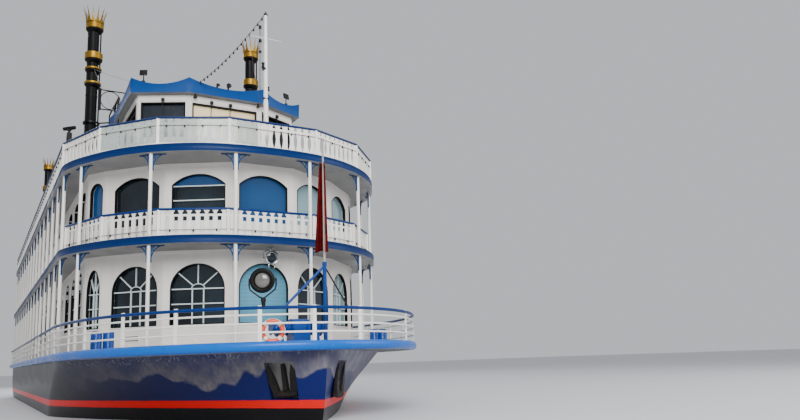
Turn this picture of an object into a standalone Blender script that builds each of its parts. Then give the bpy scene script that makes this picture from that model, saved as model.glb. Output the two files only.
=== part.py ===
"""River tour boat with a stern wheel, built at half its real size, in metres.

X points to the bow, Y to port and Z up. The origin is the middle of the flat bottom.
Every object is one closed body that the real boat has as a separate piece.
"""

import math

import bmesh
import bpy
from mathutils import Matrix, Vector

# Clearances: between pieces that rest on each other, and beside pieces that move
GAP = 0.0003
SWING = 0.010

# Heights, from the flat bottom up
MAIN_DECK = 1.77
DECK_THICK = 0.10
GUARD_RISE = 0.03
LOWER_CLEAR = 1.617
UPPER_CLEAR = 1.333
WHEELHOUSE_CLEAR = 1.78
FASCIA = 0.135

GUARD_TOP = MAIN_DECK + GUARD_RISE
DECK_LOW = MAIN_DECK - DECK_THICK
SECOND_UNDER = MAIN_DECK + LOWER_CLEAR
SECOND_DECK = SECOND_UNDER + FASCIA
SUN_UNDER = SECOND_DECK + UPPER_CLEAR
SUN_DECK = SUN_UNDER + FASCIA
ROOF_UNDER = SUN_DECK + WHEELHOUSE_CLEAR

# Guard: how far back from the bow, and what share of its half width, at each point
BOW = 11.50
STERN = -8.35
GUARD_HALF = 3.00
GUARD_WIDE = 0.08
GUARD_ROUND = 0.028
GUARD_CURVE = (
    (0.00, 0.000),
    (0.08, 0.160),
    (0.32, 0.352),
    (0.70, 0.525),
    (1.22, 0.680),
    (1.85, 0.812),
    (2.70, 0.915),
    (3.70, 0.975),
    (4.70, 1.000),
)
GUARD_PARTS = 3

# Upper decks, saloons and wheelhouse: how far back from each front, and how far out
DECK_FRONT = 9.42
DECK_AFT = -8.30
DECK_HALF = 2.95
DECK_FACETS = ((0.00, 0.76), (0.48, 1.78), (1.34, 2.52), (2.52, DECK_HALF))
DECK_PARTS = 4
SALOON_FRONT = 8.87
SALOON_AFT = -6.90
SIDE_WALK = 0.43
SALOON_SHOULDER = 0.22
SALOON_HALF = DECK_HALF - SIDE_WALK
SALOON_FACETS = (
    (0.00, 0.53),
    (0.57, 1.50),
    (1.42, SALOON_HALF - SALOON_SHOULDER),
    (1.77, SALOON_HALF),
)
HOUSE_FRONT = 6.65
HOUSE_AFT = 3.85
HOUSE_HALF = 1.60
HOUSE_FACETS = ((0.00, 0.72), (0.45, HOUSE_HALF))
WALL = 0.07
PANE = 0.02
CORNER = 0.12

# Hull outline at each height: stem, length of the entrance, half beam, fullness, transom
HULL_LEVELS = (
    (0.00, 10.60, 6.4, 2.45, 1.30, -6.20),
    (0.25, 10.90, 6.2, 2.72, 1.30, -6.80),
    (0.70, 11.15, 6.0, 2.84, 1.32, -7.90),
    (1.00, 11.24, 5.7, 2.87, 1.36, STERN),
    (DECK_LOW - GAP, 11.36, 4.6, 2.89, 1.68, STERN),
)
HULL_POINTS = 17

# Rails
HANDRAIL_WIDE = 0.06
HANDRAIL_DEEP = 0.035
STRIP_WIDE = 0.035
STRIP_DEEP = 0.03
MIDDLE_BAR = 0.024
POST_R = 0.016
MAIN_RAIL_HIGH = 0.50
MAIN_RAIL_IN = 0.05
MAIN_POST_PITCH = 1.10
# How far round from the stem the first posts stand, to starboard and to port
FORE_POSTS = ((-4.05, -3.02, -2.09, -0.93, -0.22), (0.50, 1.87, 2.97, 4.05))
UPPER_RAIL_HIGH = 0.455
SECOND_RAIL_IN = 0.13
TOP_RAIL_IN = 0.035
UPPER_POST_PITCH = 1.25

# Columns of both galleries stand at the decks' edge, outside the second deck's rail
COLUMN_R = 0.033
COLUMN_IN = SECOND_RAIL_IN - HANDRAIL_WIDE / 2 - COLUMN_R - 0.001
COLUMN_PITCH = 1.0
COLUMN_FIRST = 6.86
# Shares of the plan's front half side, second side and third side
FRONT_PAIR = 0.85
SHOULDER_SHARE = 0.11
FLANK_SHARE = 0.40
AFT_PAIR = 0.95
BEAM_WIDE = 0.075
BEAM_DEEP = 0.03

# Windows, by the side's bays. Heights are above each floor
WINDOW_WIDE = 0.60
FRONT_SHARE = 0.74
BAY_FIRST = 6.42
BAY_PITCH = 1.0
DOOR_BAY = 3
AFT_WINDOWS = (-1.2, 0.0, 1.2)
DOOR_WIDE = 0.50
DOOR_THICK = 0.05
DOOR_STEP = 0.04
DOOR_PIN_R = 0.006
# Floor, clear height, sill, spring of the arch, top of the arch, top of the door
DECKHOUSES = (
    ("lower", MAIN_DECK, LOWER_CLEAR, 0.49, 1.13, 1.44, 1.36),
    ("upper", SECOND_DECK, UPPER_CLEAR, 0.43, 1.02, 1.14, 1.19),
)
HOUSE_SILL = 0.93
HOUSE_HEAD = 1.63
HOUSE_DOOR_TOP = 1.56
HOUSE_DOOR_X = 4.25
HOUSE_DOOR_WIDE = 0.45
HOUSE_SPLIT = 4.75

GATE_X = BAY_FIRST - DOOR_BAY * BAY_PITCH
GATE_WIDE = 0.86
GATE_PIN_R = 0.010

# Stern wheel
WHEEL_X = -10.05
WHEEL_Z = 1.78
WHEEL_R = 1.45
WHEEL_HALF = 2.10
WHEEL_SPOKES = 10
BOARD_DEEP = 0.33
BOARD_THICK = 0.045
RIM_R = 1.05
AXLE_R = 0.08
BEAM_Y = 2.40
BEAM_HIGH = 0.34
WHEEL_BEAM_WIDE = 0.16
WHEEL_BEAM_END = -11.30

RUDDER_X = -7.75
RUDDER_Y = 1.10
RUDDER_AFT = 0.50
RUDDER_FORE = 0.22
RUDDER_LOW = 0.06
RUDDER_TOP = 0.44
STOCK_R = 0.036
STOCK_TOP = 0.95

# Stacks: place, radius, top, height of the lower gold band over the deck, crown's height
STACKS = (
    ("front", 2.40, 1.97, 0.16, 9.86, 3.88, 0.38),
    ("rear", -5.20, 2.30, 0.12, 8.15, 2.45, 0.28),
)
STACK_SIDES = 16
PETALS = 12
FRAME_Y = 1.60
FRAME_LOW = 7.13
FRAME_HIGH = 7.51

NAVY = (0.012, 0.022, 0.10)
BLUE = (0.02, 0.09, 0.33)
SKY = (0.03, 0.25, 0.62)
WHITE = (0.72, 0.70, 0.66)
GLASS = (0.04, 0.06, 0.09)
BLACK = (0.015, 0.015, 0.017)
RED = (0.6, 0.03, 0.02)
ORANGE = (0.8, 0.15, 0.03)
GREY = (0.25, 0.25, 0.25)
STEEL = (0.6, 0.6, 0.6)

for old in list(bpy.data.objects):
    bpy.data.objects.remove(old, do_unlink=True)

boat = bpy.data.collections.new("river_tour_boat")
cutters = bpy.data.collections.new("cutters")
cutters.hide_render = True
bpy.context.scene.collection.children.link(boat)
bpy.context.scene.collection.children.link(cutters)

SIDES = (("port", 1), ("starboard", -1))


def paint(name, colour, roughness, metallic):
    material = bpy.data.materials.new(name)
    material.use_nodes = True
    shader = material.node_tree.nodes["Principled BSDF"]
    shader.inputs["Base Color"].default_value = (*colour, 1)
    shader.inputs["Roughness"].default_value = roughness
    shader.inputs["Metallic"].default_value = metallic
    material.diffuse_color = (*colour, 1)
    return material


# Shapes. Each function returns a mesh that is one closed shell.


def finished(bm):
    mesh = bpy.data.meshes.new("shape")
    bm.to_mesh(mesh)
    bm.free()
    return mesh


def standing(start, end):
    """A matrix at the middle of a line, with Z along it and Y as near up as it goes."""
    start, end = Vector(start), Vector(end)
    along = (end - start).normalized()
    up = Vector((0, 0, 1)) if abs(along.z) < 0.9 else Vector((1, 0, 0))
    across = up.cross(along).normalized()
    turn = Matrix((across, along.cross(across), along)).transposed()
    return Matrix.Translation((start + end) / 2) @ turn.to_4x4()


def box(x, y, z, wide, deep, high):
    """A box on its centre: wide along X, deep along Y, high along Z."""
    bm = bmesh.new()
    size = Matrix.Diagonal((wide, deep, high, 1))
    bmesh.ops.create_cube(bm, size=1, matrix=Matrix.Translation((x, y, z)) @ size)
    return finished(bm)


def bar(start, end, wide, high):
    """A square-cornered bar between two points, wide to the side and high upwards."""
    bm = bmesh.new()
    length = (Vector(end) - Vector(start)).length
    size = Matrix.Diagonal((wide, high, length, 1))
    bmesh.ops.create_cube(bm, size=1, matrix=standing(start, end) @ size)
    return finished(bm)


def rod(start, end, r, sides=8, r_end=None):
    """A round bar between two points, with a flat side or a corner uppermost."""
    bm = bmesh.new()
    bmesh.ops.create_cone(
        bm,
        cap_ends=True,
        segments=sides,
        radius1=r,
        radius2=r if r_end is None else r_end,
        depth=(Vector(end) - Vector(start)).length,
        matrix=standing(start, end),
    )
    return finished(bm)


def plate(outlines, low, high):
    """A flat piece with one outer outline, and holes if there are more."""
    curve = bpy.data.curves.new("outline", "CURVE")
    curve.dimensions = "2D"
    curve.fill_mode = "BOTH"
    curve.extrude = (high - low) / 2
    for outline in outlines:
        spline = curve.splines.new("POLY")
        spline.points.add(len(outline) - 1)
        for point, (x, y) in zip(spline.points, outline):
            point.co = (x, y, 0, 1)
        spline.use_cyclic_u = True
    guide = bpy.data.objects.new("outline", curve)
    mesh = bpy.data.meshes.new_from_object(guide)
    bpy.data.objects.remove(guide)
    bpy.data.curves.remove(curve)
    bm = bmesh.new()
    bm.from_mesh(mesh)
    bpy.data.meshes.remove(mesh)
    bmesh.ops.remove_doubles(bm, verts=bm.verts, dist=0.00001)
    bmesh.ops.recalc_face_normals(bm, faces=bm.faces)
    bmesh.ops.translate(bm, verts=bm.verts, vec=(0, 0, (low + high) / 2))
    return finished(bm)


def hoop(major, minor, major_sides, minor_sides):
    """A ring of round section in the plane of X and Y."""
    bpy.ops.mesh.primitive_torus_add(
        major_segments=major_sides,
        minor_segments=minor_sides,
        major_radius=major,
        minor_radius=minor,
    )
    torus = bpy.context.active_object
    mesh = torus.data
    bpy.data.objects.remove(torus)
    return mesh


def loft(sections):
    """Skins outlines of the same number of points, in order, with both ends closed."""
    n = len(sections[0])
    bm = bmesh.new()
    rows = [[bm.verts.new(point) for point in section] for section in sections]
    for low, high in zip(rows, rows[1:]):
        for i in range(n):
            k = (i + 1) % n
            bm.faces.new((low[i], low[k], high[k], high[i]))
    bm.faces.new(rows[0][::-1])
    bm.faces.new(rows[-1])
    return finished(bm)


def placed(mesh, origin, x_way, y_way, z_way):
    """Stands a mesh in other axes."""
    turn = Matrix((x_way, y_way, z_way)).transposed().to_4x4()
    mesh.transform(Matrix.Translation(origin) @ turn)
    return mesh


def mirrored(mesh):
    copy = mesh.copy()
    copy.transform(Matrix.Diagonal((1, -1, 1, 1)))
    copy.flip_normals()
    return copy


def both(meshes):
    return list(meshes) + [mirrored(mesh) for mesh in meshes]


# Plans


def facets(front, steps, aft):
    """A port half, given back from its front, made into one anticlockwise outline."""
    half = [(front - back, out) for back, out in steps]
    half.append((aft, half[-1][1]))
    return [(x, -y) for x, y in reversed(half) if y > 0] + half


def inset(outline, distance):
    """Moves each side of an anticlockwise outline inwards."""
    moved = []
    for i, here in enumerate(outline):
        here = Vector(here)
        before = (here - Vector(outline[i - 1])).normalized()
        after = (Vector(outline[(i + 1) % len(outline)]) - here).normalized()
        n1, n2 = Vector((-before.y, before.x)), Vector((-after.y, after.x))
        moved.append(tuple(here + (n1 + n2) * (distance / (1 + n1.dot(n2)))))
    return moved


def band(outline, outer, inner, low, high):
    """A flat ring between two insets of an outline."""
    return plate((inset(outline, outer), inset(outline, inner)), low, high)


def rounded(outline, parts):
    """The outline with its sides ahead of the aft corners bent into a smooth curve
    through the corners. Each side is a cubic, whose slope at a corner lies between the
    sides that meet there, and along the ship at the first and the last."""
    fore = [Vector(point) for point in outline[1:-1]]
    slopes = [Vector((1, 0))]
    slopes += [(b - a).normalized() for a, b in zip(fore, fore[2:])]
    slopes.append(Vector((-1, 0)))
    points = [outline[0]]
    for i, (a, b) in enumerate(zip(fore, fore[1:])):
        length = (b - a).length
        for k in range(parts):
            t = k / parts
            points.append(tuple(
                a * (2 * t**3 - 3 * t**2 + 1)
                + slopes[i] * ((t**3 - 2 * t**2 + t) * length)
                + b * (3 * t**2 - 2 * t**3)
                + slopes[i + 1] * ((t**3 - t**2) * length)
            ))
    return points + [tuple(fore[-1]), outline[-1]]


def between(line, place):
    """A point on a line, where 2.5 is half way from its third point to its fourth."""
    i = int(place)
    return tuple(Vector(line[i]).lerp(Vector(line[i + 1]), place - i))


def round_from_stem(line, distance):
    """A point on a closed line, this far along it from the stem, to port if it is over 0."""
    port = [Vector(point) for point in line[len(line) // 2:]]
    left = abs(distance)
    for a, b in zip(port, port[1:]):
        length = (b - a).length
        if left <= length:
            x, y = a.lerp(b, left / length)
            return (x, y if distance > 0 else -y)
        left -= length
    return tuple(port[-1])


def along(outline, pitch):
    """Each corner of a closed outline, and points between about a pitch apart."""
    places = []
    for i, here in enumerate(outline):
        here, after = Vector(here), Vector(outline[(i + 1) % len(outline)])
        count = max(1, round((after - here).length / pitch))
        places += [tuple(here.lerp(after, k / count)) for k in range(count)]
    return places


# Objects


def merged(name, meshes, collection):
    bm = bmesh.new()
    for mesh in meshes:
        bm.from_mesh(mesh)
        bpy.data.meshes.remove(mesh)
    mesh = finished(bm)
    mesh.name = name
    obj = bpy.data.objects.new(name, mesh)
    collection.objects.link(obj)
    return obj


def combine(obj, helper, operation):
    helper.hide_render = True
    helper.display_type = "WIRE"
    boolean = obj.modifiers.new(operation.lower(), "BOOLEAN")
    boolean.operation = operation
    boolean.solver = "EXACT"
    boolean.use_self = True
    boolean.object = helper


def part(name, meshes, colour, cuts=(), pivot=(0, 0, 0), roughness=0.5, metallic=0.0):
    """One object: the first mesh, with the others joined on and the cuts taken out."""
    obj = merged(name, meshes[:1], boat)
    obj.data.transform(Matrix.Translation(-Vector(pivot)))
    obj.location = pivot
    if len(meshes) > 1:
        combine(obj, merged(f"{name}_joined", meshes[1:], cutters), "UNION")
    if cuts:
        combine(obj, merged(f"{name}_cuts", cuts, cutters), "DIFFERENCE")
    obj.data.materials.append(paint(name, colour, roughness, metallic))
    return obj


# Hull

hull_sections = []
for z, stem, entrance, half_beam, fullness, transom in HULL_LEVELS:
    curve = []
    for i in range(HULL_POINTS):
        t = (i / (HULL_POINTS - 1)) ** 1.2
        curve.append((entrance * t, half_beam * (1 - (1 - t) ** fullness)))
    outline = facets(stem, curve, transom)
    hull_sections.append([(x, y, z) for x, y in outline])

POCKET = (0.46, 0.54)
POCKET_DEEP = 0.12
POCKET_AT = (10.76, 0.42, 1.27)
pocket_out = Vector((0.61, 0.75, -0.26)).normalized()
pocket_side = Vector((0, 0, 1)).cross(pocket_out).normalized()
pocket_up = pocket_out.cross(pocket_side)


def on_bow(mesh):
    return placed(mesh, POCKET_AT, pocket_out, pocket_side, pocket_up)


def on_bow_point(out, across, up):
    return tuple(Vector(POCKET_AT) + pocket_out * out + pocket_side * across + pocket_up * up)


BORE_SIDES = 12
pocket = on_bow(box(0.4 - POCKET_DEEP, 0, 0, 0.80, *POCKET))
bores = [
    rod((RUDDER_X, out * RUDDER_Y, 0.2), (RUDDER_X, out * RUDDER_Y, STOCK_TOP + GAP),
        STOCK_R + SWING, BORE_SIDES)
    for _, out in SIDES
]
part("hull", [loft(hull_sections)], NAVY, both([pocket]) + bores)

for side, out in SIDES:
    back = -POCKET_DEEP + GAP
    anchor = [
        on_bow(box(back + 0.03, 0, -0.02, 0.06, 0.06, 0.40)),
        on_bow(box(back + 0.045, 0, -0.20, 0.09, 0.36, 0.08)),
    ]
    for way in (-1, 1):
        fluke = loft([
            [on_bow_point(back + deep, way * across, up) for deep, across in corners]
            for up, corners in (
                (-0.22, ((0.01, 0.10), (0.09, 0.10), (0.09, 0.19), (0.01, 0.19))),
                (0.02, ((0.01, 0.13), (0.07, 0.13), (0.07, 0.20), (0.01, 0.20))),
                (0.22, ((0.05, 0.17), (0.06, 0.17), (0.06, 0.18), (0.05, 0.18))),
            )
        ])
        bm = bmesh.new()
        bm.from_mesh(fluke)
        bmesh.ops.recalc_face_normals(bm, faces=bm.faces)
        anchor.append(finished(bm))
    if out < 0:
        anchor = [mirrored(mesh) for mesh in anchor]
    part(f"anchor_{side}", anchor, BLACK)

# Main deck, and the blue guard round its edge

guard_outline = rounded(
    facets(BOW, [(back, share * GUARD_HALF) for back, share in GUARD_CURVE], STERN), GUARD_PARTS)
part("main_deck", [plate([inset(guard_outline, GUARD_WIDE + GAP)], DECK_LOW, MAIN_DECK)], GREY)

bm = bmesh.new()
bm.from_mesh(band(guard_outline, 0, GUARD_WIDE, DECK_LOW, GUARD_TOP))
rim = {(round(x, 4), round(y, 4)) for x, y in guard_outline}
edges = [
    edge
    for edge in bm.edges
    if abs(edge.verts[0].co.z - edge.verts[1].co.z) < 0.001
    and all((round(v.co.x, 4), round(v.co.y, 4)) in rim for v in edge.verts)
    and not edge.is_boundary
    and abs(edge.link_faces[0].normal.z - edge.link_faces[1].normal.z) > 0.5
]
bmesh.ops.bevel(bm, geom=edges, offset=GUARD_ROUND, segments=1, affect="EDGES")
part("guard", [finished(bm)], SKY, roughness=0.35)

# Rails


def rails(line, low, high, middle=False):
    """A low strip and a handrail round a line, with a bar between them where asked."""
    half, hand = STRIP_WIDE / 2, HANDRAIL_WIDE / 2
    meshes = [
        band(line, -half, half, low, low + STRIP_DEEP),
        band(line, -hand, hand, high - HANDRAIL_DEEP, high),
    ]
    if middle:
        centre = (low + high) / 2
        bar_half = MIDDLE_BAR / 2
        meshes.append(band(line, -bar_half, bar_half, centre - bar_half, centre + bar_half))
    return meshes


def posts(places, low, high):
    return [rod((x, y, low + 0.01), (x, y, high - 0.01), POST_R, 4) for x, y in places]


main_line = inset(guard_outline, MAIN_RAIL_IN)
rail_y = GUARD_HALF - MAIN_RAIL_IN
rail_low = GUARD_TOP + GAP
rail_top = MAIN_DECK + MAIN_RAIL_HIGH
gate_from, gate_to = GATE_X - GATE_WIDE / 2, GATE_X + GATE_WIDE / 2
gate_posts = [(x, out * rail_y) for x in (gate_from - 0.03, gate_to + 0.03) for _, out in SIDES]
aft_line = [(STERN + MAIN_RAIL_IN, -rail_y), (STERN + MAIN_RAIL_IN, rail_y)]
side_from = BOW - GUARD_CURVE[-1][0]
main_posts = [round_from_stem(main_line, run) for runs in FORE_POSTS for run in runs]
main_posts += [
    (x, y)
    for x, y in along([(side_from, -rail_y), (side_from, rail_y)] + aft_line[::-1],
                      MAIN_POST_PITCH)
    if (abs(y) > rail_y - 0.01 or x < 0) and not gate_from - 0.3 < x < gate_to + 0.3
]
gate_low = rail_low + STRIP_DEEP + 0.01
gate_openings = [
    box(GATE_X, out * rail_y, (gate_low + rail_top + 0.1) / 2, GATE_WIDE, 0.2,
        rail_top + 0.1 - gate_low)
    for _, out in SIDES
]
part(
    "main_rail",
    rails(main_line, rail_low, rail_top, middle=True)
    + posts(main_posts + gate_posts, rail_low, rail_top),
    WHITE,
    gate_openings,
)

gate_pivot_x = gate_to - 0.03
for side, out in SIDES:
    y = out * rail_y
    left = gate_from + 0.03
    low = gate_low + 0.04
    middle = (low + rail_top) / 2
    part(
        f"gate_{side}",
        [
            bar((left, y, rail_top - 0.018), (gate_pivot_x, y, rail_top - 0.018), 0.04, 0.036),
            bar((left, y, low + 0.012), (gate_pivot_x, y, low + 0.012), 0.03, 0.024),
            bar((left, y, middle), (gate_pivot_x, y, middle), 0.02, 0.02),
            box(left + 0.015, y, middle, 0.028, 0.028, rail_top - low - 0.02),
            box(gate_pivot_x - 0.012, y, middle, 0.028, 0.028, rail_top - low - 0.02),
            rod((gate_pivot_x, y, rail_low + STRIP_DEEP + GAP), (gate_pivot_x, y, middle),
                GATE_PIN_R, 8),
        ],
        WHITE,
        pivot=(gate_pivot_x, y, low),
    )

deck_outline = facets(DECK_FRONT, DECK_FACETS, DECK_AFT)
deck_curve = rounded(deck_outline, DECK_PARTS)
for name, floor, rail_in in (
    ("second_rail", SECOND_DECK, SECOND_RAIL_IN),
    ("top_rail", SUN_DECK, TOP_RAIL_IN),
):
    line = inset(deck_outline, rail_in)
    low, high = floor + GAP, floor + UPPER_RAIL_HIGH
    part(name, rails(line, low, high) + posts(along(line, UPPER_POST_PITCH), low, high), WHITE)

part("second_deck", [plate([deck_curve], SECOND_UNDER, SECOND_DECK)], BLUE)
part("sun_deck", [plate([deck_curve], SUN_UNDER, SUN_DECK)], BLUE)

# Galleries: a beam under each deck's edge, on columns, in a port and a starboard half

column_line = inset(deck_curve, COLUMN_IN)
port_half = column_line[len(column_line) // 2:]
aft_x, side_y = port_half[-1]
half_columns = [
    between(port_half, DECK_PARTS * FRONT_PAIR / 2),
    between(port_half, DECK_PARTS * (1.5 + SHOULDER_SHARE)),
    between(port_half, DECK_PARTS * (2.5 + FLANK_SHARE)),
]
column_x = COLUMN_FIRST
while column_x > aft_x + COLUMN_PITCH / 2:
    half_columns.append((column_x, side_y))
    column_x -= COLUMN_PITCH
half_columns += [(aft_x, side_y), (aft_x, AFT_PAIR)]
for name, low, high in (
    ("lower_gallery", MAIN_DECK + GAP, SECOND_UNDER - GAP),
    ("upper_gallery", SECOND_DECK + GAP, SUN_UNDER - GAP),
):
    for side, out in SIDES:
        beam = band(deck_curve, COLUMN_IN - BEAM_WIDE / 2, COLUMN_IN + BEAM_WIDE / 2,
                    high - BEAM_DEEP, high)
        uprights = [
            rod((x, out * y, low), (x, out * y, high - BEAM_DEEP / 2), COLUMN_R, 6)
            for x, y in half_columns
        ]
        length = DECK_FRONT - DECK_AFT
        other_half = box(DECK_AFT + length / 2, out * (GAP - DECK_HALF) / 2, high,
                         length + 0.5, DECK_HALF, 0.5)
        part(f"{name}_{side}", [beam] + uprights, WHITE, [other_half])


# Deck houses


def arch(width, sill, spring, top, steps=5):
    """An arched opening's outline, as (across, height)."""
    half = width / 2
    outline = [(-half, sill), (half, sill)]
    for i in range(steps + 1):
        a = math.pi * i / steps
        outline.append((half * math.cos(a), spring + (top - spring) * math.sin(a)))
    return outline


def square(width, low, high):
    return [(-width / 2, low), (width / 2, low), (width / 2, high), (-width / 2, high)]


def through(outline, centre, facing, thick=0.3):
    """A cutter of this outline, through a wall at (x, y) that faces a plan direction."""
    out = Vector((facing[0], facing[1], 0)).normalized()
    across = Vector((0, 0, 1)).cross(out)
    cutter = plate([outline], -thick / 2, thick / 2)
    return placed(cutter, (centre[0], centre[1], 0), across, (0, 0, 1), out)


def front_wall(outline, cut_x):
    """The plan of the wall round a house's front, as far back as cut_x."""
    inner = inset(outline, WALL)
    outside = [point for point in outline[1:-1]]
    inside = [point for point in inner[1:-1]]
    return (
        [(cut_x, outline[0][1])] + outside + [(cut_x, outline[-1][1])]
        + [(cut_x, inner[-1][1])] + inside[::-1] + [(cut_x, inner[0][1])]
    )


def door(name, x, face_y, out, hinge_way, wide, low, high, inwards=False):
    """A leaf between low and high, hung on pins at the corner on its opening side."""
    face = face_y - 0.008
    pivot = (x + hinge_way * wide / 2, out * (face - (DOOR_THICK if inwards else 0)))
    leaf_low, leaf_high = low + SWING, high - SWING
    part(
        name,
        [
            box(x, out * (face - DOOR_THICK / 2), (leaf_low + leaf_high) / 2, wide, DOOR_THICK,
                leaf_high - leaf_low),
            rod((*pivot, low + GAP), (*pivot, leaf_low + 0.05), DOOR_PIN_R, 8),
            rod((*pivot, leaf_high - 0.05), (*pivot, high - GAP), DOOR_PIN_R, 8),
        ],
        WHITE,
        pivot=(*pivot, leaf_low),
    )


def doorway(x, face_y, wide, low, high):
    return box(x, face_y, (low + high) / 2, wide + 2 * SWING, 0.4, high - low)


saloon_outline = facets(SALOON_FRONT, SALOON_FACETS, SALOON_AFT)
front_end = SALOON_FRONT - SALOON_FACETS[-1][0] - CORNER
door_x = BAY_FIRST - DOOR_BAY * BAY_PITCH
bays = []
bay_x = BAY_FIRST
while bay_x - WINDOW_WIDE / 2 > SALOON_AFT + 0.3:
    bays.append(bay_x)
    bay_x -= BAY_PITCH

for deck, floor, clear, sill, spring, top, door_top in DECKHOUSES:
    low, high = floor + GAP, floor + clear - GAP
    heights = (floor + sill, floor + spring, floor + top)
    step, lintel = floor + DOOR_STEP, floor + door_top

    cuts = []
    half = len(saloon_outline) // 2
    for i in range(half - 4, half + 3):
        a, b = Vector(saloon_outline[i]), Vector(saloon_outline[i + 1])
        way = b - a
        window = arch(way.length * FRONT_SHARE, *heights)
        cuts.append(through(window, (a + b) / 2, (way.y, -way.x)))
    # The first bay's windows stand in the side walls, so the front wall ends before them
    part(f"{deck}_front_wall", [plate([front_wall(saloon_outline, front_end)], low, high)],
         WHITE, cuts)

    door_cuts = [doorway(door_x, out * SALOON_HALF, DOOR_WIDE, step, lintel) for _, out in SIDES]
    aft_end = SALOON_AFT + WALL + GAP
    for side, out in SIDES:
        cuts = [
            through(arch(WINDOW_WIDE, *heights), (x, out * SALOON_HALF), (0, out))
            for x in bays
            if abs(x - door_x) > BAY_PITCH / 2
        ]
        cuts.append(doorway(door_x, out * SALOON_HALF, DOOR_WIDE, step, lintel))
        slab = box((front_end - GAP + aft_end) / 2, out * (SALOON_HALF - WALL / 2),
                   (low + high) / 2, front_end - GAP - aft_end, WALL, high - low)
        part(f"{deck}_side_wall_{side}", [slab], WHITE, cuts)
        door(f"{deck}_door_{side}", door_x, SALOON_HALF, out, 1, DOOR_WIDE, step, lintel,
             inwards=True)

    cuts = [through(arch(WINDOW_WIDE, *heights), (SALOON_AFT, y), (-1, 0)) for y in AFT_WINDOWS]
    slab = box(SALOON_AFT + WALL / 2, 0, (low + high) / 2, WALL, 2 * SALOON_HALF, high - low)
    part(f"{deck}_aft_wall", [slab], WHITE, cuts)
    part(
        f"{deck}_glazing",
        [band(saloon_outline, WALL + GAP, WALL + PANE, heights[0] - 0.06, high - 0.05)],
        GLASS,
        door_cuts,
        roughness=0.1,
    )

# Wheelhouse

house_outline = facets(HOUSE_FRONT, HOUSE_FACETS, HOUSE_AFT)
house_sill, house_head = SUN_DECK + HOUSE_SILL, SUN_DECK + HOUSE_HEAD
house_step, house_lintel = SUN_DECK + DOOR_STEP, SUN_DECK + HOUSE_DOOR_TOP
low, high = SUN_DECK + GAP, ROOF_UNDER - GAP
cuts = []
half = len(house_outline) // 2
for i in range(half - 2, half + 1):
    a, b = Vector(house_outline[i]), Vector(house_outline[i + 1])
    way = b - a
    cuts.append(through(square(way.length - 0.14, house_sill, house_head), (a + b) / 2,
                        (way.y, -way.x)))
side_window_x = (HOUSE_FRONT - HOUSE_FACETS[-1][0] + HOUSE_SPLIT) / 2
side_window = HOUSE_FRONT - HOUSE_FACETS[-1][0] - HOUSE_SPLIT - 0.28
for _, out in SIDES:
    cuts.append(through(square(side_window, house_sill, house_head),
                        (side_window_x, out * HOUSE_HALF), (0, out)))
part("wheelhouse_front", [plate([front_wall(house_outline, HOUSE_SPLIT + GAP)], low, high)],
     WHITE, cuts)

inner_y = HOUSE_HALF - WALL
back_plan = [
    (HOUSE_SPLIT, inner_y),
    (HOUSE_SPLIT, HOUSE_HALF),
    (HOUSE_AFT, HOUSE_HALF),
    (HOUSE_AFT, -HOUSE_HALF),
    (HOUSE_SPLIT, -HOUSE_HALF),
    (HOUSE_SPLIT, -inner_y),
    (HOUSE_AFT + WALL, -inner_y),
    (HOUSE_AFT + WALL, inner_y),
]
house_doors = [
    doorway(HOUSE_DOOR_X, out * HOUSE_HALF, HOUSE_DOOR_WIDE, house_step, house_lintel)
    for _, out in SIDES
]
aft_window = through(square(2 * HOUSE_HALF - 1.0, house_sill, house_head), (HOUSE_AFT, 0), (-1, 0))
part("wheelhouse_back", [plate([back_plan], low, high)], WHITE,
     [aft_window] + [mesh.copy() for mesh in house_doors])
part(
    "wheelhouse_glazing",
    [band(house_outline, WALL + GAP, WALL + PANE, house_sill - 0.05, high - 0.05)],
    GLASS,
    house_doors,
    roughness=0.1,
)
for side, out in SIDES:
    door(f"wheelhouse_door_{side}", HOUSE_DOOR_X, HOUSE_HALF, out, -1, HOUSE_DOOR_WIDE,
         house_step, house_lintel)

# The roof's edge sweeps up to a point at each corner
EAVES = 0.15
ROOF_THICK = 0.11
ROOF_EDGE = 0.18
ROOF_TIP = 0.13
ROOF_STEPS = 6
roof_outline = inset(house_outline, -EAVES)
roof_top = ROOF_UNDER + ROOF_THICK


def split(outline, steps):
    """The outline with each side split into equal steps."""
    points = []
    for i, a in enumerate(outline):
        a, b = Vector(a), Vector(outline[(i + 1) % len(outline)])
        points += [tuple(a.lerp(b, k / steps)) for k in range(steps)]
    return points


def level(distance, heights):
    """The split roof outline, moved inwards, at one height or at a list of them."""
    points = split(inset(roof_outline, distance), ROOF_STEPS)
    return [(x, y, z) for (x, y), z in zip(points, heights)]


corner_share = [abs(2 * (i % ROOF_STEPS) / ROOF_STEPS - 1) for i in range(4 * ROOF_STEPS * 2)]
sweep = [ROOF_UNDER + ROOF_EDGE + ROOF_TIP * share**2 for share in corner_share]
flat = [ROOF_UNDER] * len(sweep)
inside = [roof_top] * len(sweep)
part(
    "wheelhouse_roof",
    [loft([level(0.03, flat), level(0.0, sweep), level(0.05, sweep), level(0.08, inside)])],
    BLUE,
)

# Stacks with their crowns

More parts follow.
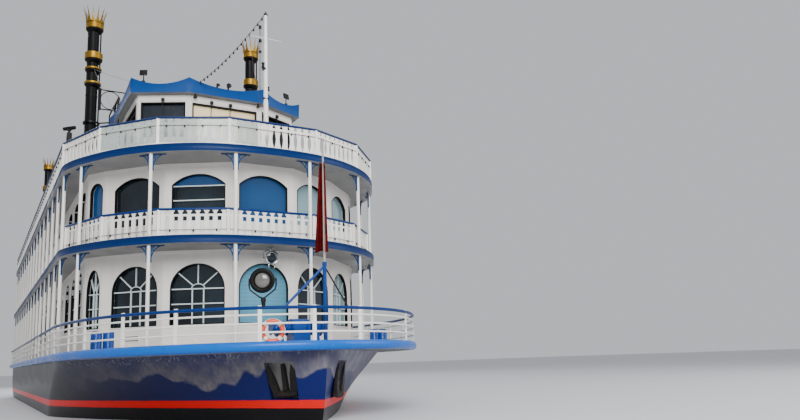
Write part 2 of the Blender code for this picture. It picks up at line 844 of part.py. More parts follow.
for name, x, y, r, top, band_up, crown in STACKS:
    band_low = SUN_DECK + band_up
    profile = (
        (0.0, top),
        (r * 1.25, top),
        (r * 1.25, top - 0.19),
        (r, top - 0.20),
        (r, band_low + 0.22),
        (r * 1.13, band_low + 0.21),
        (r * 1.13, band_low + 0.01),
        (r, band_low),
        (r, SUN_DECK + 0.10),
        (r * 1.35, SUN_DECK + 0.08),
        (r * 1.35, SUN_DECK + GAP),
        (0.0, SUN_DECK + GAP),
    )
    for side, out in SIDES:
        mesh = bpy.data.meshes.new(f"stack_{name}_{side}")
        mesh.from_pydata([(px, 0, pz) for px, pz in profile],
                         [(i, i + 1) for i in range(len(profile) - 1)], [])
        stack = bpy.data.objects.new(mesh.name, mesh)
        stack.location = (x, out * y, 0)
        boat.objects.link(stack)
        screw = stack.modifiers.new("turn", "SCREW")
        screw.steps = screw.render_steps = STACK_SIDES
        screw.use_merge_vertices = True
        screw.merge_threshold = 0.0001
        mesh.materials.append(paint(mesh.name, BLACK, 0.5, 0.0))
        # The crown is an open cone whose upper edge is drawn out into points
        bm = bmesh.new()
        bmesh.ops.create_cone(bm, cap_ends=False, segments=2 * PETALS, radius1=r * 1.18,
                              radius2=r * 1.60, depth=crown * 0.5)
        rows = sorted(bm.verts, key=lambda v: (round(v.co.z, 4), math.atan2(v.co.y, v.co.x)))
        for i, vert in enumerate(rows[2 * PETALS:]):
            if i % 2 == 0:
                vert.co = (vert.co.x * 1.22, vert.co.y * 1.22, crown * 0.75)
        bmesh.ops.translate(bm, verts=bm.verts, vec=(x, out * y, top - 0.02 + crown * 0.25))
        points = merged(f"{mesh.name}_crown", [finished(bm)], cutters)
        shell = points.modifiers.new("thickness", "SOLIDIFY")
        shell.thickness = 0.10 * r
        shell.offset = -1
        combine(stack, points, "UNION")

# Frames that steady the front stacks: a clamp on the stack, and a foot on the wheelhouse roof

stack_x, stack_y, stack_r = STACKS[0][1:4]
frame_from = stack_x + stack_r + 0.07
frame_to = HOUSE_AFT + 0.10
middle = (FRAME_LOW + FRAME_HIGH) / 2
for side, out in SIDES:
    y = out * FRAME_Y
    clamp = plate(
        [
            [
                (
                    stack_x + radius * math.cos(2 * math.pi * i / STACK_SIDES),
                    out * stack_y + radius * math.sin(2 * math.pi * i / STACK_SIDES),
                )
                for i in range(STACK_SIDES)
            ]
            for radius in (stack_r + 0.03, stack_r + GAP)
        ],
        middle - 0.02,
        middle + 0.02,
    )
    hoop_r = (FRAME_HIGH - FRAME_LOW) / 2 - 0.016
    ring = placed(hoop(hoop_r, 0.016, 12, 4), (frame_to - 0.03 - hoop_r - 0.09, y, middle),
                  (1, 0, 0), (0, 0, 1), (0, -1, 0))
    part(
        f"stack_frame_{side}",
        [
            bar((frame_from, y, FRAME_LOW), (frame_to, y, FRAME_LOW), 0.03, 0.03),
            bar((frame_from, y, FRAME_HIGH), (frame_to, y, FRAME_HIGH), 0.03, 0.03),
            box(frame_to - 0.55, y, middle, 0.028, 0.028, FRAME_HIGH - FRAME_LOW + 0.02),
            box(frame_to - 0.02, y, (roof_top + GAP + FRAME_HIGH) / 2, 0.028, 0.028,
                FRAME_HIGH - roof_top - GAP),
            box(frame_from + 0.01, y, middle, 0.028, 0.028, FRAME_HIGH - FRAME_LOW + 0.02),
            bar((frame_from + 0.01, y, middle),
                (stack_x + 0.10, out * (stack_y - stack_r * 0.98), middle), 0.026, 0.026),
            clamp,
            ring,
        ],
        BLACK,
    )

# Masts and staffs

MAST_X = 9.00
MAST_TOP = 7.60
part(
    "mast",
    [
        rod((MAST_X, 0, SUN_DECK + GAP), (MAST_X, 0, MAST_TOP), 0.05, 10, 0.028),
        bar((MAST_X, -0.30, MAST_TOP - 0.5), (MAST_X, 0.30, MAST_TOP - 0.5), 0.03, 0.03),
        box(MAST_X, 0, SUN_DECK + GAP + 0.027, 0.2, 0.2, 0.054),
    ],
    WHITE,
)
RADAR = (-0.70, -2.15)
RADAR_TOP = 8.00
part(
    "radar_mast",
    [
        rod((*RADAR, SUN_DECK + GAP), (*RADAR, RADAR_TOP), 0.14, 10, 0.045),
        box(*RADAR, RADAR_TOP + 0.04, 0.26, 0.26, 0.14),
        box(*RADAR, RADAR_TOP + 0.22, 0.07, 0.62, 0.07),
        box(*RADAR, RADAR_TOP + 0.14, 0.06, 0.06, 0.14),
    ],
    WHITE,
)


def rail_x(y, line=main_line):
    """Where a line round the deck crosses the bow at this distance to the side."""
    port = line[len(line) // 2:]
    for (x0, y0), (x1, y1) in zip(port, port[1:]):
        if y0 <= abs(y) <= y1:
            return x0 + (x1 - x0) * (abs(y) - y0) / (y1 - y0)
    return port[-1][0]


JACK_BACK = 0.20
JACK_HIGH = 1.08
JACK_TOP = 4.63
STRUTS = (0.28, -0.57)
jack_x = BOW - JACK_BACK
jack = [
    rod((jack_x, 0, MAIN_DECK + GAP), (jack_x, 0, MAIN_DECK + JACK_HIGH), 0.028, 10),
    rod((jack_x, 0, MAIN_DECK + JACK_HIGH - 0.05), (jack_x, 0, JACK_TOP), 0.018, 8, 0.012),
]
for strut_y in STRUTS:
    foot = (rail_x(strut_y), strut_y)
    jack.append(bar((jack_x, 0, MAIN_DECK + JACK_HIGH - 0.04), (*foot, rail_top + 0.05),
                    0.03, 0.03))
    jack.append(box(*foot, rail_top + GAP + 0.03, 0.05, 0.05, 0.06))
part("jackstaff", jack, BLUE)
STAFF_X = DECK_AFT + 0.40
part(
    "stern_staff",
    [
        rod((STAFF_X, 0, SUN_DECK + GAP), (STAFF_X, 0, SUN_DECK + 1.90), 0.025, 8, 0.012),
        box(STAFF_X, 0, SUN_DECK + GAP + 0.027, 0.12, 0.12, 0.054),
    ],
    WHITE,
)

# Foredeck gear

WINDLASS_X = 10.35
drum_z = MAIN_DECK + 0.24
part(
    "windlass",
    [
        box(WINDLASS_X, 0, MAIN_DECK + GAP + 0.035, 0.55, 0.80, 0.07),
        box(WINDLASS_X, 0, MAIN_DECK + 0.20, 0.30, 0.26, 0.36),
        rod((WINDLASS_X, -0.42, drum_z), (WINDLASS_X, 0.42, drum_z), 0.07, 10),
        rod((WINDLASS_X, -0.43, drum_z), (WINDLASS_X, -0.34, drum_z), 0.12, 12),
        rod((WINDLASS_X, 0.34, drum_z), (WINDLASS_X, 0.43, drum_z), 0.12, 12),
        box(WINDLASS_X, 0.28, MAIN_DECK + 0.14, 0.16, 0.08, 0.24),
        box(WINDLASS_X, -0.28, MAIN_DECK + 0.14, 0.16, 0.08, 0.24),
    ],
    SKY,
)
BITTS = (8.40, 2.40)
for side, out in SIDES:
    x, y = BITTS[0], out * BITTS[1]
    part(
        f"bitts_{side}",
        [
            box(x, y, MAIN_DECK + GAP + 0.02, 0.24, 0.46, 0.04),
            rod((x, y - 0.10, MAIN_DECK + 0.02), (x, y - 0.10, MAIN_DECK + 0.32), 0.085, 12),
            rod((x, y + 0.10, MAIN_DECK + 0.02), (x, y + 0.10, MAIN_DECK + 0.32), 0.085, 12),
        ],
        SKY,
    )
LAMP_Y = -0.85
LAMP_R = 0.165
lamp_x = rail_x(LAMP_Y)
lamp_z = rail_top + 0.32
part(
    "floodlight",
    [
        rod((lamp_x - 0.05, LAMP_Y + 0.03, lamp_z + 0.01), (lamp_x + 0.08, LAMP_Y - 0.05, lamp_z),
            LAMP_R, 16),
        box(lamp_x, LAMP_Y, rail_top + GAP + 0.09, 0.05, 0.05, 0.18),
    ],
    BLACK,
)
SEARCH_X = 9.20
SEARCH_Y = 0.0
SEARCH_R = 0.11
search_z = SECOND_UNDER - BEAM_DEEP - SEARCH_R - 0.03
part(
    "searchlight",
    [
        rod((SEARCH_X - 0.08, SEARCH_Y, search_z), (SEARCH_X + 0.10, SEARCH_Y - 0.01,
                                                    search_z - 0.01), SEARCH_R, 14),
        box(SEARCH_X, SEARCH_Y, (search_z + SECOND_UNDER - GAP) / 2, 0.05, 0.05,
            SECOND_UNDER - GAP - search_z),
    ],
    STEEL,
    metallic=1.0,
)

RING_Y = -0.72
RING_R = 0.13
RING_THICK = 0.03
# It stands on the deck, just inside the guard
ring_z = MAIN_DECK + GAP + RING_R + RING_THICK
ring_line = inset(guard_outline, GUARD_WIDE + 2 * GAP + RING_THICK)
slope = Vector((rail_x(RING_Y + 0.05, ring_line) - rail_x(RING_Y - 0.05, ring_line), 0.10, 0))
slope.normalize()
ring_out = Vector((slope.y, -slope.x, 0))
ring_at = Vector((rail_x(RING_Y, ring_line), RING_Y, ring_z))
part(
    "life_ring",
    [placed(hoop(RING_R, RING_THICK, 16, 6), ring_at, slope, (0, 0, 1), ring_out)],
    ORANGE,
)

# Stern wheel, the beams that carry it, and the rudders ahead of it

# A ten-sided axle stands on a corner, so it rests on its block at this height
block_top = WHEEL_Z - AXLE_R - GAP
for side, out in SIDES:
    y = out * BEAM_Y
    beam_z = 1.48
    part(
        f"wheel_beam_{side}",
        [
            bar((STERN - GAP, y, beam_z), (WHEEL_BEAM_END, y, beam_z), WHEEL_BEAM_WIDE, BEAM_HIGH),
            box(WHEEL_X, y, (beam_z + block_top) / 2, 0.30, WHEEL_BEAM_WIDE - 0.02,
                block_top - beam_z),
            box(WHEEL_X + 0.20, y, (beam_z + WHEEL_Z + 0.1) / 2, 0.18, WHEEL_BEAM_WIDE - 0.02,
                WHEEL_Z + 0.1 - beam_z),
            box(WHEEL_X - 0.20, y, (beam_z + WHEEL_Z + 0.1) / 2, 0.18, WHEEL_BEAM_WIDE - 0.02,
                WHEEL_Z + 0.1 - beam_z),
        ],
        BLUE,
    )

axle_half = BEAM_Y + WHEEL_BEAM_WIDE / 2 + 0.01
wheel = [rod((WHEEL_X, -axle_half, WHEEL_Z), (WHEEL_X, axle_half, WHEEL_Z), AXLE_R, 10)]
circle = [(math.cos(2 * math.pi * i / 20), math.sin(2 * math.pi * i / 20)) for i in range(20)]
for y in (-WHEEL_HALF + 0.12, 0.0, WHEEL_HALF - 0.12):
    wheel.append(rod((WHEEL_X, y - 0.08, WHEEL_Z), (WHEEL_X, y + 0.08, WHEEL_Z), 0.20, 8))
    for i in range(WHEEL_SPOKES):
        a = 2 * math.pi * i / WHEEL_SPOKES
        reach = WHEEL_R - BOARD_DEEP / 3
        tip = (WHEEL_X + reach * math.cos(a), y, WHEEL_Z + reach * math.sin(a))
        wheel.append(bar((WHEEL_X, y, WHEEL_Z), tip, 0.07, 0.06))
    rim_outlines = [[(px * r, py * r) for px, py in circle] for r in (RIM_R, RIM_R - 0.07)]
    wheel.append(placed(plate(rim_outlines, -0.025, 0.025), (WHEEL_X, y, WHEEL_Z),
                        (1, 0, 0), (0, 0, -1), (0, 1, 0)))
for i in range(WHEEL_SPOKES):
    a = 2 * math.pi * i / WHEEL_SPOKES
    out = Vector((math.cos(a), 0, math.sin(a)))
    over = Vector((-math.sin(a), 0, math.cos(a)))
    centre = Vector((WHEEL_X, 0, WHEEL_Z)) + out * (WHEEL_R - BOARD_DEEP / 2)
    board = box(0, 0, 0, BOARD_DEEP, 2 * WHEEL_HALF, BOARD_THICK)
    wheel.append(placed(board, centre, out, (0, 1, 0), over))
part("paddle_wheel", wheel, RED, pivot=(WHEEL_X, 0, WHEEL_Z))

for side, out in SIDES:
    y = out * RUDDER_Y
    blade = [
        (RUDDER_X - RUDDER_AFT, y - 0.012),
        (RUDDER_X, y - 0.04),
        (RUDDER_X + RUDDER_FORE, y - 0.012),
        (RUDDER_X + RUDDER_FORE, y + 0.012),
        (RUDDER_X, y + 0.04),
        (RUDDER_X - RUDDER_AFT, y + 0.012),
    ]
    part(
        f"rudder_{side}",
        [
            plate([blade], RUDDER_LOW, RUDDER_TOP),
            rod((RUDDER_X, y, RUDDER_TOP - 0.14), (RUDDER_X, y, STOCK_TOP), STOCK_R, 8),
        ],
        GREY,
        pivot=(RUDDER_X, y, RUDDER_LOW),
    )

ENGINE = (1.9, 1.5, 0.9)
part("engine", [box(-5.4, 0, MAIN_DECK + GAP + ENGINE[2] / 2, *ENGINE)], GREY)
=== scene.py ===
# %% [markdown]
# # A stern-wheel river tour boat
#
# The real boat has a low steel hull, two saloon decks with open galleries, a top deck
# with a wheelhouse, four tall stacks with gold crowns and a red paddle wheel at the
# stern. Its solids come from a CAD model as a fixed frame. They could all be shown as
# they are, but a carved baluster or a curved hull needs more faces than a solid should
# carry. So this lesson keeps the solids that are flat in real life, such as the walls,
# and makes the curved and carved pieces anew as surfaces worked out with numpy.

import bmesh
import bpy
import numpy as np
from mathutils import Matrix, Vector


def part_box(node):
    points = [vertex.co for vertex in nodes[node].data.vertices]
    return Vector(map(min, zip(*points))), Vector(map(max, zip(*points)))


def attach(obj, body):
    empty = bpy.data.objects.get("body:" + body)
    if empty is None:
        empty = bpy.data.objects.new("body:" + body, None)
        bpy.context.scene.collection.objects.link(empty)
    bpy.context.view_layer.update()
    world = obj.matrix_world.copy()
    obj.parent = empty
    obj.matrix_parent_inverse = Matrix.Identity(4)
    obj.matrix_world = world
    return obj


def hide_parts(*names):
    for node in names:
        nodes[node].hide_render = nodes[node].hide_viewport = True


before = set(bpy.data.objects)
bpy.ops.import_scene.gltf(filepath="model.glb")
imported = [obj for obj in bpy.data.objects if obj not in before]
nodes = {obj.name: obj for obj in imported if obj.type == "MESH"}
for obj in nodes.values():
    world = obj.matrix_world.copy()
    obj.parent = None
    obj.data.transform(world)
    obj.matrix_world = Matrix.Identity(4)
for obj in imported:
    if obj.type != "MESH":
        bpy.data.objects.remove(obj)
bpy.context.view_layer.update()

# %% [markdown]
# ## Shapes as arrays
#
# Each shape below is three arrays: points, four-sided faces and three-sided faces.
# A ring of points carried along a line gives rails, mouldings and pipes, and a ring
# carried up a height gives turned and lofted pieces. Blender's own curve objects could
# do some of this, but arrays let hundreds of balusters be set out in one sum.

# %% Rings joined into a skin


def shape(points, quads=(), triangles=()):
    """Points and the faces between them, as whole arrays."""
    return (
        np.asarray(points, float).reshape(-1, 3),
        np.asarray(quads, int).reshape(-1, 4),
        np.asarray(triangles, int).reshape(-1, 3),
    )


def together(*forms):
    """Several shapes as one: each one's faces count on from the points before it."""
    starts = np.cumsum([0] + [len(form[0]) for form in forms[:-1]])
    return shape(
        np.vstack([form[0] for form in forms]),
        np.vstack([form[1] + start for form, start in zip(forms, starts)]),
        np.vstack([form[2] + start for form, start in zip(forms, starts)]),
    )


def skin(rings, ends="cap"):
    """Quads between each ring and the next. The end rings are closed by a fan round
    their middle, or joined to each other where the ends are a loop."""
    rings = np.asarray(rings, float)
    n, m = rings.shape[:2]
    i, j = np.meshgrid(np.arange(n if ends == "loop" else n - 1), np.arange(m), indexing="ij")
    right, up = (j + 1) % m, (i + 1) % n
    quads = np.stack([i * m + j, i * m + right, up * m + right, up * m + j], -1)
    points = rings.reshape(-1, 3)
    if ends == "loop":
        return shape(points, quads)
    j = np.arange(m)
    first = np.stack([np.full(m, n * m), (j + 1) % m, j], -1)
    last = np.stack([np.full(m, n * m + 1), (n - 1) * m + j, (n - 1) * m + (j + 1) % m], -1)
    middles = np.stack([rings[0].mean(0), rings[-1].mean(0)])
    return shape(np.vstack([points, middles]), quads, np.vstack([first, last]))


def moved(form, by=(0, 0, 0), size=(1, 1, 1)):
    """The shape times a size along each axis, and then moved."""
    return shape(form[0] * size + np.asarray(by), form[1], form[2])


def unit(vectors):
    """Vectors divided by their own length."""
    vectors = np.asarray(vectors, float)
    return vectors / np.linalg.norm(vectors, axis=-1, keepdims=True)


def turn_steps(count, first=0.0):
    """Equal steps round a whole turn, in radians."""
    return 2 * np.pi * (np.arange(count) + first) / count


def across_of(line):
    """Two ways at right angles to each direction, from the axis that is least along it."""
    axis = np.eye(3)[np.argmin(np.abs(line).max(0))]
    side = unit(np.cross(line, axis))
    return side, np.cross(side, line)


def tube(path, radius, sides=8, loop=False):
    """A round bar: at each point of the path, a circle across the path's direction."""
    path = np.asarray(path, float)
    ahead = np.roll(path, -1, 0) - np.roll(path, 1, 0) if loop else np.gradient(path, axis=0)
    side, up = across_of(unit(ahead))
    turn = turn_steps(sides, 0.5)[None, :, None]
    radius = np.broadcast_to(radius, len(path))[:, None, None]
    circle = np.cos(turn) * side[:, None] + np.sin(turn) * up[:, None]
    return skin(path[:, None] + radius * circle, "loop" if loop else "cap")


def hoop(at, side, up, thick, angles=turn_steps(16), loop=True, sides=6):
    """A round bar bent round a point: at + side x cos + up x sin of each angle."""
    path = np.asarray(at) + np.outer(np.cos(angles), side) + np.outer(np.sin(angles), up)
    return tube(path, thick, sides, loop)


def moulding(path, profile, normal=(0, 0, 1), loop=True):
    """A profile of (out, up) points carried along a flat path. At a corner the profile
    stands on the mitre: the two ways out are added and divided by one plus their
    product, which keeps each side's own distance."""
    path, profile, normal = np.asarray(path, float), np.asarray(profile, float), unit(normal)
    way = unit(np.roll(path, -1, 0) - path) if loop else unit(np.diff(path, axis=0))
    after = way if loop else np.vstack([way, way[-1:]])
    before = np.roll(after, 1, 0) if loop else np.vstack([way[:1], way])
    a, b = np.cross(before, normal), np.cross(after, normal)
    mitre = (a + b) / (1 + (a * b).sum(1, keepdims=True))
    rings = path[:, None] + profile[None, :, :1] * mitre[:, None] + profile[None, :, 1:] * normal
    return skin(rings, "loop" if loop else "cap")


def turned(profile, sides=24, at=(0, 0, 0), line=(0, 0, 1)):
    """A profile of (radius, height) points turned about a line through a point. Its ends
    are closed flat."""
    profile, line = np.asarray(profile, float), unit(line)
    side, up = across_of(line[None])
    turn = turn_steps(sides)[:, None]
    circle = np.cos(turn) * side + np.sin(turn) * up
    rings = profile[:, None, :1] * circle[None] + profile[:, None, 1:] * line + np.asarray(at)
    return skin(rings)


def block(low, high):
    """A box between its lowest and highest corner, as two square rings."""
    (x0, y0, z0), (x1, y1, z1) = low, high
    ring = np.array([(x0, y0), (x1, y0), (x1, y1), (x0, y1)])
    return shape([level(ring, z) for z in (z0, z1)],
                 [(0, 3, 2, 1), (4, 5, 6, 7), (0, 1, 5, 4), (1, 2, 6, 5), (2, 3, 7, 6),
                  (3, 0, 4, 7)])


def ball(radius, sides=12, at=(0, 0, 0)):
    """A ball: a half circle of rings, each as wide as the sine of its angle."""
    angle = np.linspace(0.02, np.pi - 0.02, sides // 2 + 1)
    return turned(np.column_stack([radius * np.sin(angle), -radius * np.cos(angle)]), sides, at)


def repeated(form, points):
    """The shape's faces again for each set of its points, counted on from the last."""
    shift = (np.arange(len(points)) * len(form[0]))[:, None, None]
    return shape(points, form[1][None] + shift, form[2][None] + shift)


def copies(form, at, out, up=(0, 0, 1), size=(1, 1, 1)):
    """The shape set up at many places at once. Its own x runs across, its y outwards and
    its z upwards, each times a size, so a point is at + x across + y out + z up."""
    at = np.atleast_2d(np.asarray(at, float))
    out, up, size = (np.broadcast_to(np.atleast_2d(v).astype(float), at.shape)
                     for v in (out, up, size))
    axes = np.stack([np.cross(up, out), out, up], 1)
    return repeated(form, np.einsum("pj,kj,kjc->kpc", form[0], size, axes) + at[:, None])


def level(outline, z):
    """A flat outline set at a height."""
    return np.column_stack([outline, np.full(len(outline), float(z))])


def on_wall(points, at, out):
    """Points given as (across, height, out) from a wall's face at (x, y)."""
    points = np.asarray(points, float)
    out = np.array([*out, 0.0]) / np.hypot(*out)
    across = np.cross((0, 0, 1), out)
    return (np.array([*at, 0.0]) + points[:, :1] * across + points[:, 1:2] * np.array([0, 0, 1])
            + points[:, 2:] * out)


def slab(outline, near, far, at, out):
    """A flat plate of any convex outline of (across, height), between two distances out
    from a wall at (x, y)."""
    return skin([on_wall(level(outline, depth), at, out) for depth in (near, far)])


def barred(spine, wide, thick, wide_way, thick_way):
    """A bar along a spine whose section is a rectangle: half its width and thickness at
    each point, along two ways."""
    wide, thick = (np.outer(half, way) for half, way in ((wide, wide_way), (thick, thick_way)))
    return skin(np.stack([spine + a * wide + b * thick for a, b in SQUARE], 1))


SQUARE = np.array([(-1, -1), (1, -1), (1, 1), (-1, 1)])
post = skin([level(SQUARE, z) for z in (0, 1)])
print("a unit post has", len(post[0]), "points")

# %% [markdown]
# ## Plans of the decks
#
# The boat's decks and houses are laid out on plans with straight facets round the bow.
# They could be drawn by eye, but every rail, column and window has to stand where its
# solid does, so the plans are the same numbers as the solids' own.

# %% Plans, insets and places along them


def plan(front, steps, aft):
    """An anticlockwise outline from (back, out) steps of its port half and their mirror."""
    steps = np.asarray(steps, float)
    half = np.column_stack([front - steps[:, 0], steps[:, 1]])
    half = np.vstack([half, [aft, half[-1, 1]]])
    return np.vstack([half[half[:, 1] > 0][::-1] * (1, -1), half])


def inset(outline, distance):
    """Each side moved inwards by a distance, with the corners on the mitre."""
    ahead = unit(np.roll(outline, -1, 0) - outline)
    behind = np.roll(ahead, 1, 0)
    a, b = ahead[:, ::-1] * (-1, 1), behind[:, ::-1] * (-1, 1)
    return outline + (a + b) * distance / (1 + (a * b).sum(1, keepdims=True))


def cubic(t, a, b, leave, arrive):
    """The cubic from a to b, as t goes from 0 to 1, with these slopes at its ends."""
    return ((2 * t**3 - 3 * t**2 + 1) * a + (t**3 - 2 * t**2 + t) * leave
            + (3 * t**2 - 2 * t**3) * b + (t**3 - t**2) * arrive)


def rounded(outline, parts=8):
    """A plan with its corners round the bow joined by a smooth line: between two
    corners, the cubic that leaves and arrives along the way from the corner before to
    the one after. The straight sides and the aft corners stay as they are."""
    fore = outline[1:-1]
    slopes = np.vstack([[(1.0, 0.0)], unit(fore[2:] - fore[:-2]), [(-1.0, 0.0)]])
    a, b, p, q = fore[:-1], fore[1:], slopes[:-1], slopes[1:]
    length = np.linalg.norm(b - a, axis=1)[:, None]
    t = (np.arange(parts) / parts)[:, None, None]
    bent = cubic(t, a, b, p * length, q * length).transpose(1, 0, 2).reshape(-1, 2)
    return np.vstack([outline[:1], bent, fore[-1:], outline[-1:]])


def stations(outline, pitch, sides=None):
    """Places about a pitch apart along chosen sides of a plan, half a step in from the
    corners, and the way out at each."""
    at, out = [], []
    for i in range(len(outline)) if sides is None else sides:
        a, b = outline[i], outline[(i + 1) % len(outline)]
        length = np.linalg.norm(b - a)
        count = max(1, int(round(length / pitch)))
        share = (np.arange(count) + 0.5)[:, None] / count
        at.append(a + share * (b - a))
        out.append(np.repeat([[(b - a)[1] / length, (a - b)[0] / length]], count, 0))
    at, out = np.vstack(at), np.vstack(out)
    return at, np.column_stack([out, np.zeros(len(out))])


MAIN_DECK, SECOND_UNDER, SECOND_DECK = 1.77, 3.387, 3.522
SUN_UNDER, SUN_DECK, ROOF_UNDER = 4.855, 4.99, 6.77
WATERLINE = 0.70
# Gear that rests on the main deck stands this high
DECK_REST = MAIN_DECK + 0.0015
BOW, STERN, GUARD_HALF = 11.50, -8.35, 3.00
SALOON_HALF, SALOON_AFT, HOUSE_HALF, HOUSE_AFT = 2.52, -6.90, 1.60, 3.85
# How far back from the bow, and what share of the half width the guard has there
GUARD_CURVE = ((0.00, 0.000), (0.08, 0.160), (0.32, 0.352), (0.70, 0.525), (1.22, 0.680),
               (1.85, 0.812), (2.70, 0.915), (3.70, 0.975), (4.70, 1.000))
guard_plan = plan(BOW, [(back, share * GUARD_HALF) for back, share in GUARD_CURVE], STERN)
deck_plan = plan(9.42, ((0.00, 0.76), (0.48, 1.78), (1.34, 2.52), (2.52, 2.95)), -8.30)
saloon_plan = plan(8.87, ((0.00, 0.53), (0.57, 1.50), (1.42, 2.30), (1.77, SALOON_HALF)),
                   SALOON_AFT)
house_plan = plan(6.65, ((0.00, 0.72), (0.45, HOUSE_HALF)), HOUSE_AFT)
SIDES = (("port", 1), ("starboard", -1))
print("plans:", [len(p) for p in (guard_plan, deck_plan, saloon_plan, house_plan)])

# %% [markdown]
# ## Finishes
#
# Nearly all of the boat is paint on steel or wood that has stood outdoors. One shader
# node group makes that weather for every paint: soft clouds of fading, streaks that run
# down, and a fine unevenness. Each material then has its own colour, gloss and stain.
# A photograph could be wrapped round the boat, but a worked-out pattern has no seams
# and stays sharp from any distance.

# %% Small helpers for shader nodes


def linear(red, green, blue):
    """A colour picked from a screen, as the light it stands for."""
    screen = np.array([red, green, blue]) / 255
    light = np.where(screen <= 0.04045, screen / 12.92, ((screen + 0.055) / 1.055) ** 2.4)
    return (*light, 1)


def feed(tree, node, inputs):
    """Each input of a node linked to a socket or set to a value."""
    for name, value in inputs.items():
        if isinstance(value, bpy.types.NodeSocket):
            tree.links.new(value, node.inputs[name])
        else:
            node.inputs[name].default_value = value


def add(tree, kind, inputs=None, **settings):
    """A node of a kind, with its settings, and its inputs set or linked."""
    made = tree.nodes.new("ShaderNode" + kind)
    for name, value in settings.items():
        setattr(made, name, value)
    feed(tree, made, inputs or {})
    return made


def bumped(tree, height, strength, distance):
    """A normal raised by a height."""
    return add(tree, "Bump", {"Height": height, "Strength": strength,
                              "Distance": distance}).outputs[0]


def place_of(tree):
    """The place on the boat, in metres."""
    return add(tree, "TexCoord").outputs["Object"]


def mixed(tree, share, first, second, blend="MIX"):
    """One colour changing into another."""
    return add(tree, "Mix", {0: share, 6: first, 7: second}, data_type="RGBA",
               blend_type=blend).outputs[2]


def ramp(tree, value, low, high, to_low=0.0, to_high=1.0):
    """A value stretched from one range to another, and held at its ends."""
    return add(tree, "MapRange", {0: value, 1: low, 2: high, 3: to_low, 4: to_high}).outputs[0]


def times(tree, first, second, operation="MULTIPLY"):
    """Two values multiplied, or joined by another operation."""
    return add(tree, "Math", {0: first, 1: second}, operation=operation).outputs[0]


def noise(tree, where, scale, detail=3.0, stretch=None):
    """Cloudy noise, drawn out along an axis where there is a stretch."""
    if stretch:
        where = add(tree, "Mapping", {0: where, 3: stretch}).outputs[0]
    return add(tree, "TexNoise", {"Vector": where, "Scale": scale, "Detail": detail}).outputs[0]


def upward_share(tree):
    """How far a face looks up: 1 when level, 0 on a wall and -1 underneath."""
    normal = add(tree, "NewGeometry").outputs["Normal"]
    return add(tree, "SeparateXYZ", {0: normal}).outputs[2]


# %% The groups that more than one finish uses


def new_group(name, inputs, outputs):
    """An empty node group with its sockets, and its two end nodes."""
    group = bpy.data.node_groups.new(name, "ShaderNodeTree")
    for title, kind, value in inputs:
        socket = group.interface.new_socket(title, in_out="INPUT", socket_type=kind)
        socket.default_value = value
    for title, kind in outputs:
        group.interface.new_socket(title, in_out="OUTPUT", socket_type=kind)
    return group, group.nodes.new("NodeGroupInput"), group.nodes.new("NodeGroupOutput")


COLOUR, NUMBER = "NodeSocketColor", "NodeSocketFloat"
weather, given, result = new_group(
    "weathered paint",
    [("Colour", COLOUR, (0.5, 0.5, 0.5, 1)), ("Stain", COLOUR, (0.2, 0.18, 0.15, 1)),
     ("Stain Amount", NUMBER, 0.4), ("Streak Amount", NUMBER, 0.4), ("Size", NUMBER, 1.0),
     ("Gloss Low", NUMBER, 0.35), ("Gloss High", NUMBER, 0.6)],
    [("Colour", COLOUR), ("Roughness", NUMBER), ("Height", NUMBER)],
)
sized = add(weather, "VectorMath", {0: place_of(weather), "Scale": given.outputs["Size"]},
            operation="SCALE").outputs[0]
clouds = ramp(weather, noise(weather, sized, 1.7, 5.0), 0.42, 0.72)
streaks = ramp(weather, noise(weather, sized, 9.0, 3.0, (1, 1, 0.07)), 0.50, 0.78)
specks = ramp(weather, noise(weather, sized, 46.0, 2.0), 0.62, 0.80)
faded = mixed(weather, times(weather, clouds, 0.12), given.outputs["Colour"],
              given.outputs["Colour"], "ADD")
share = times(weather, streaks, given.outputs["Streak Amount"])
share = times(weather, share, times(weather, specks, 0.25), "ADD")
share = times(weather, times(weather, clouds, 0.6), share, "ADD")
share = times(weather, share, given.outputs["Stain Amount"])
weather.links.new(mixed(weather, share, faded, given.outputs["Stain"]), result.inputs[0])
span = times(weather, given.outputs["Gloss High"], given.outputs["Gloss Low"], "SUBTRACT")
rough = times(weather, times(weather, span, clouds), given.outputs["Gloss Low"], "ADD")
weather.links.new(rough, result.inputs[1])
weather.links.new(noise(weather, sized, 26.0, 4.0), result.inputs[2])

edges, given, result = new_group(
    "dust on level faces",
    [("Colour", COLOUR, (0.5, 0.5, 0.5, 1)), ("Dust", COLOUR, (0.5, 0.48, 0.45, 1)),
     ("Amount", NUMBER, 0.5)],
    [("Colour", COLOUR)],
)
upward = ramp(edges, upward_share(edges), 0.45, 0.95)
patches = ramp(edges, noise(edges, place_of(edges), 3.2, 5.0), 0.35, 0.7)
mask = times(edges, times(edges, upward, patches), given.outputs["Amount"])
edges.links.new(mixed(edges, mask, given.outputs["Colour"], given.outputs["Dust"]),
                result.inputs[0])
print("groups:", [g.name for g in bpy.data.node_groups])

# %% Materials made with them


def blank(name):
    """A material with only its shader and output."""
    material = bpy.data.materials.new(name)
    material.use_nodes = True
    return material, material.node_tree, material.node_tree.nodes["Principled BSDF"]


def weathered(tree, shader, colour, stain, stained, streaked, size, gloss, strength, bump):
    """The weather group before a shader: it sets the roughness and the bump, and gives
    the worn colour."""
    worn = add(tree, "Group", {
        "Colour": colour, "Stain": linear(*stain), "Stain Amount": stained,
        "Streak Amount": streaked, "Size": size, "Gloss Low": gloss[0], "Gloss High": gloss[1],
    }, node_tree=weather).outputs
    feed(tree, shader, {"Base Color": worn["Colour"], "Roughness": worn["Roughness"],
                        "Normal": bumped(tree, worn["Height"], strength, bump)})
    return worn["Colour"]


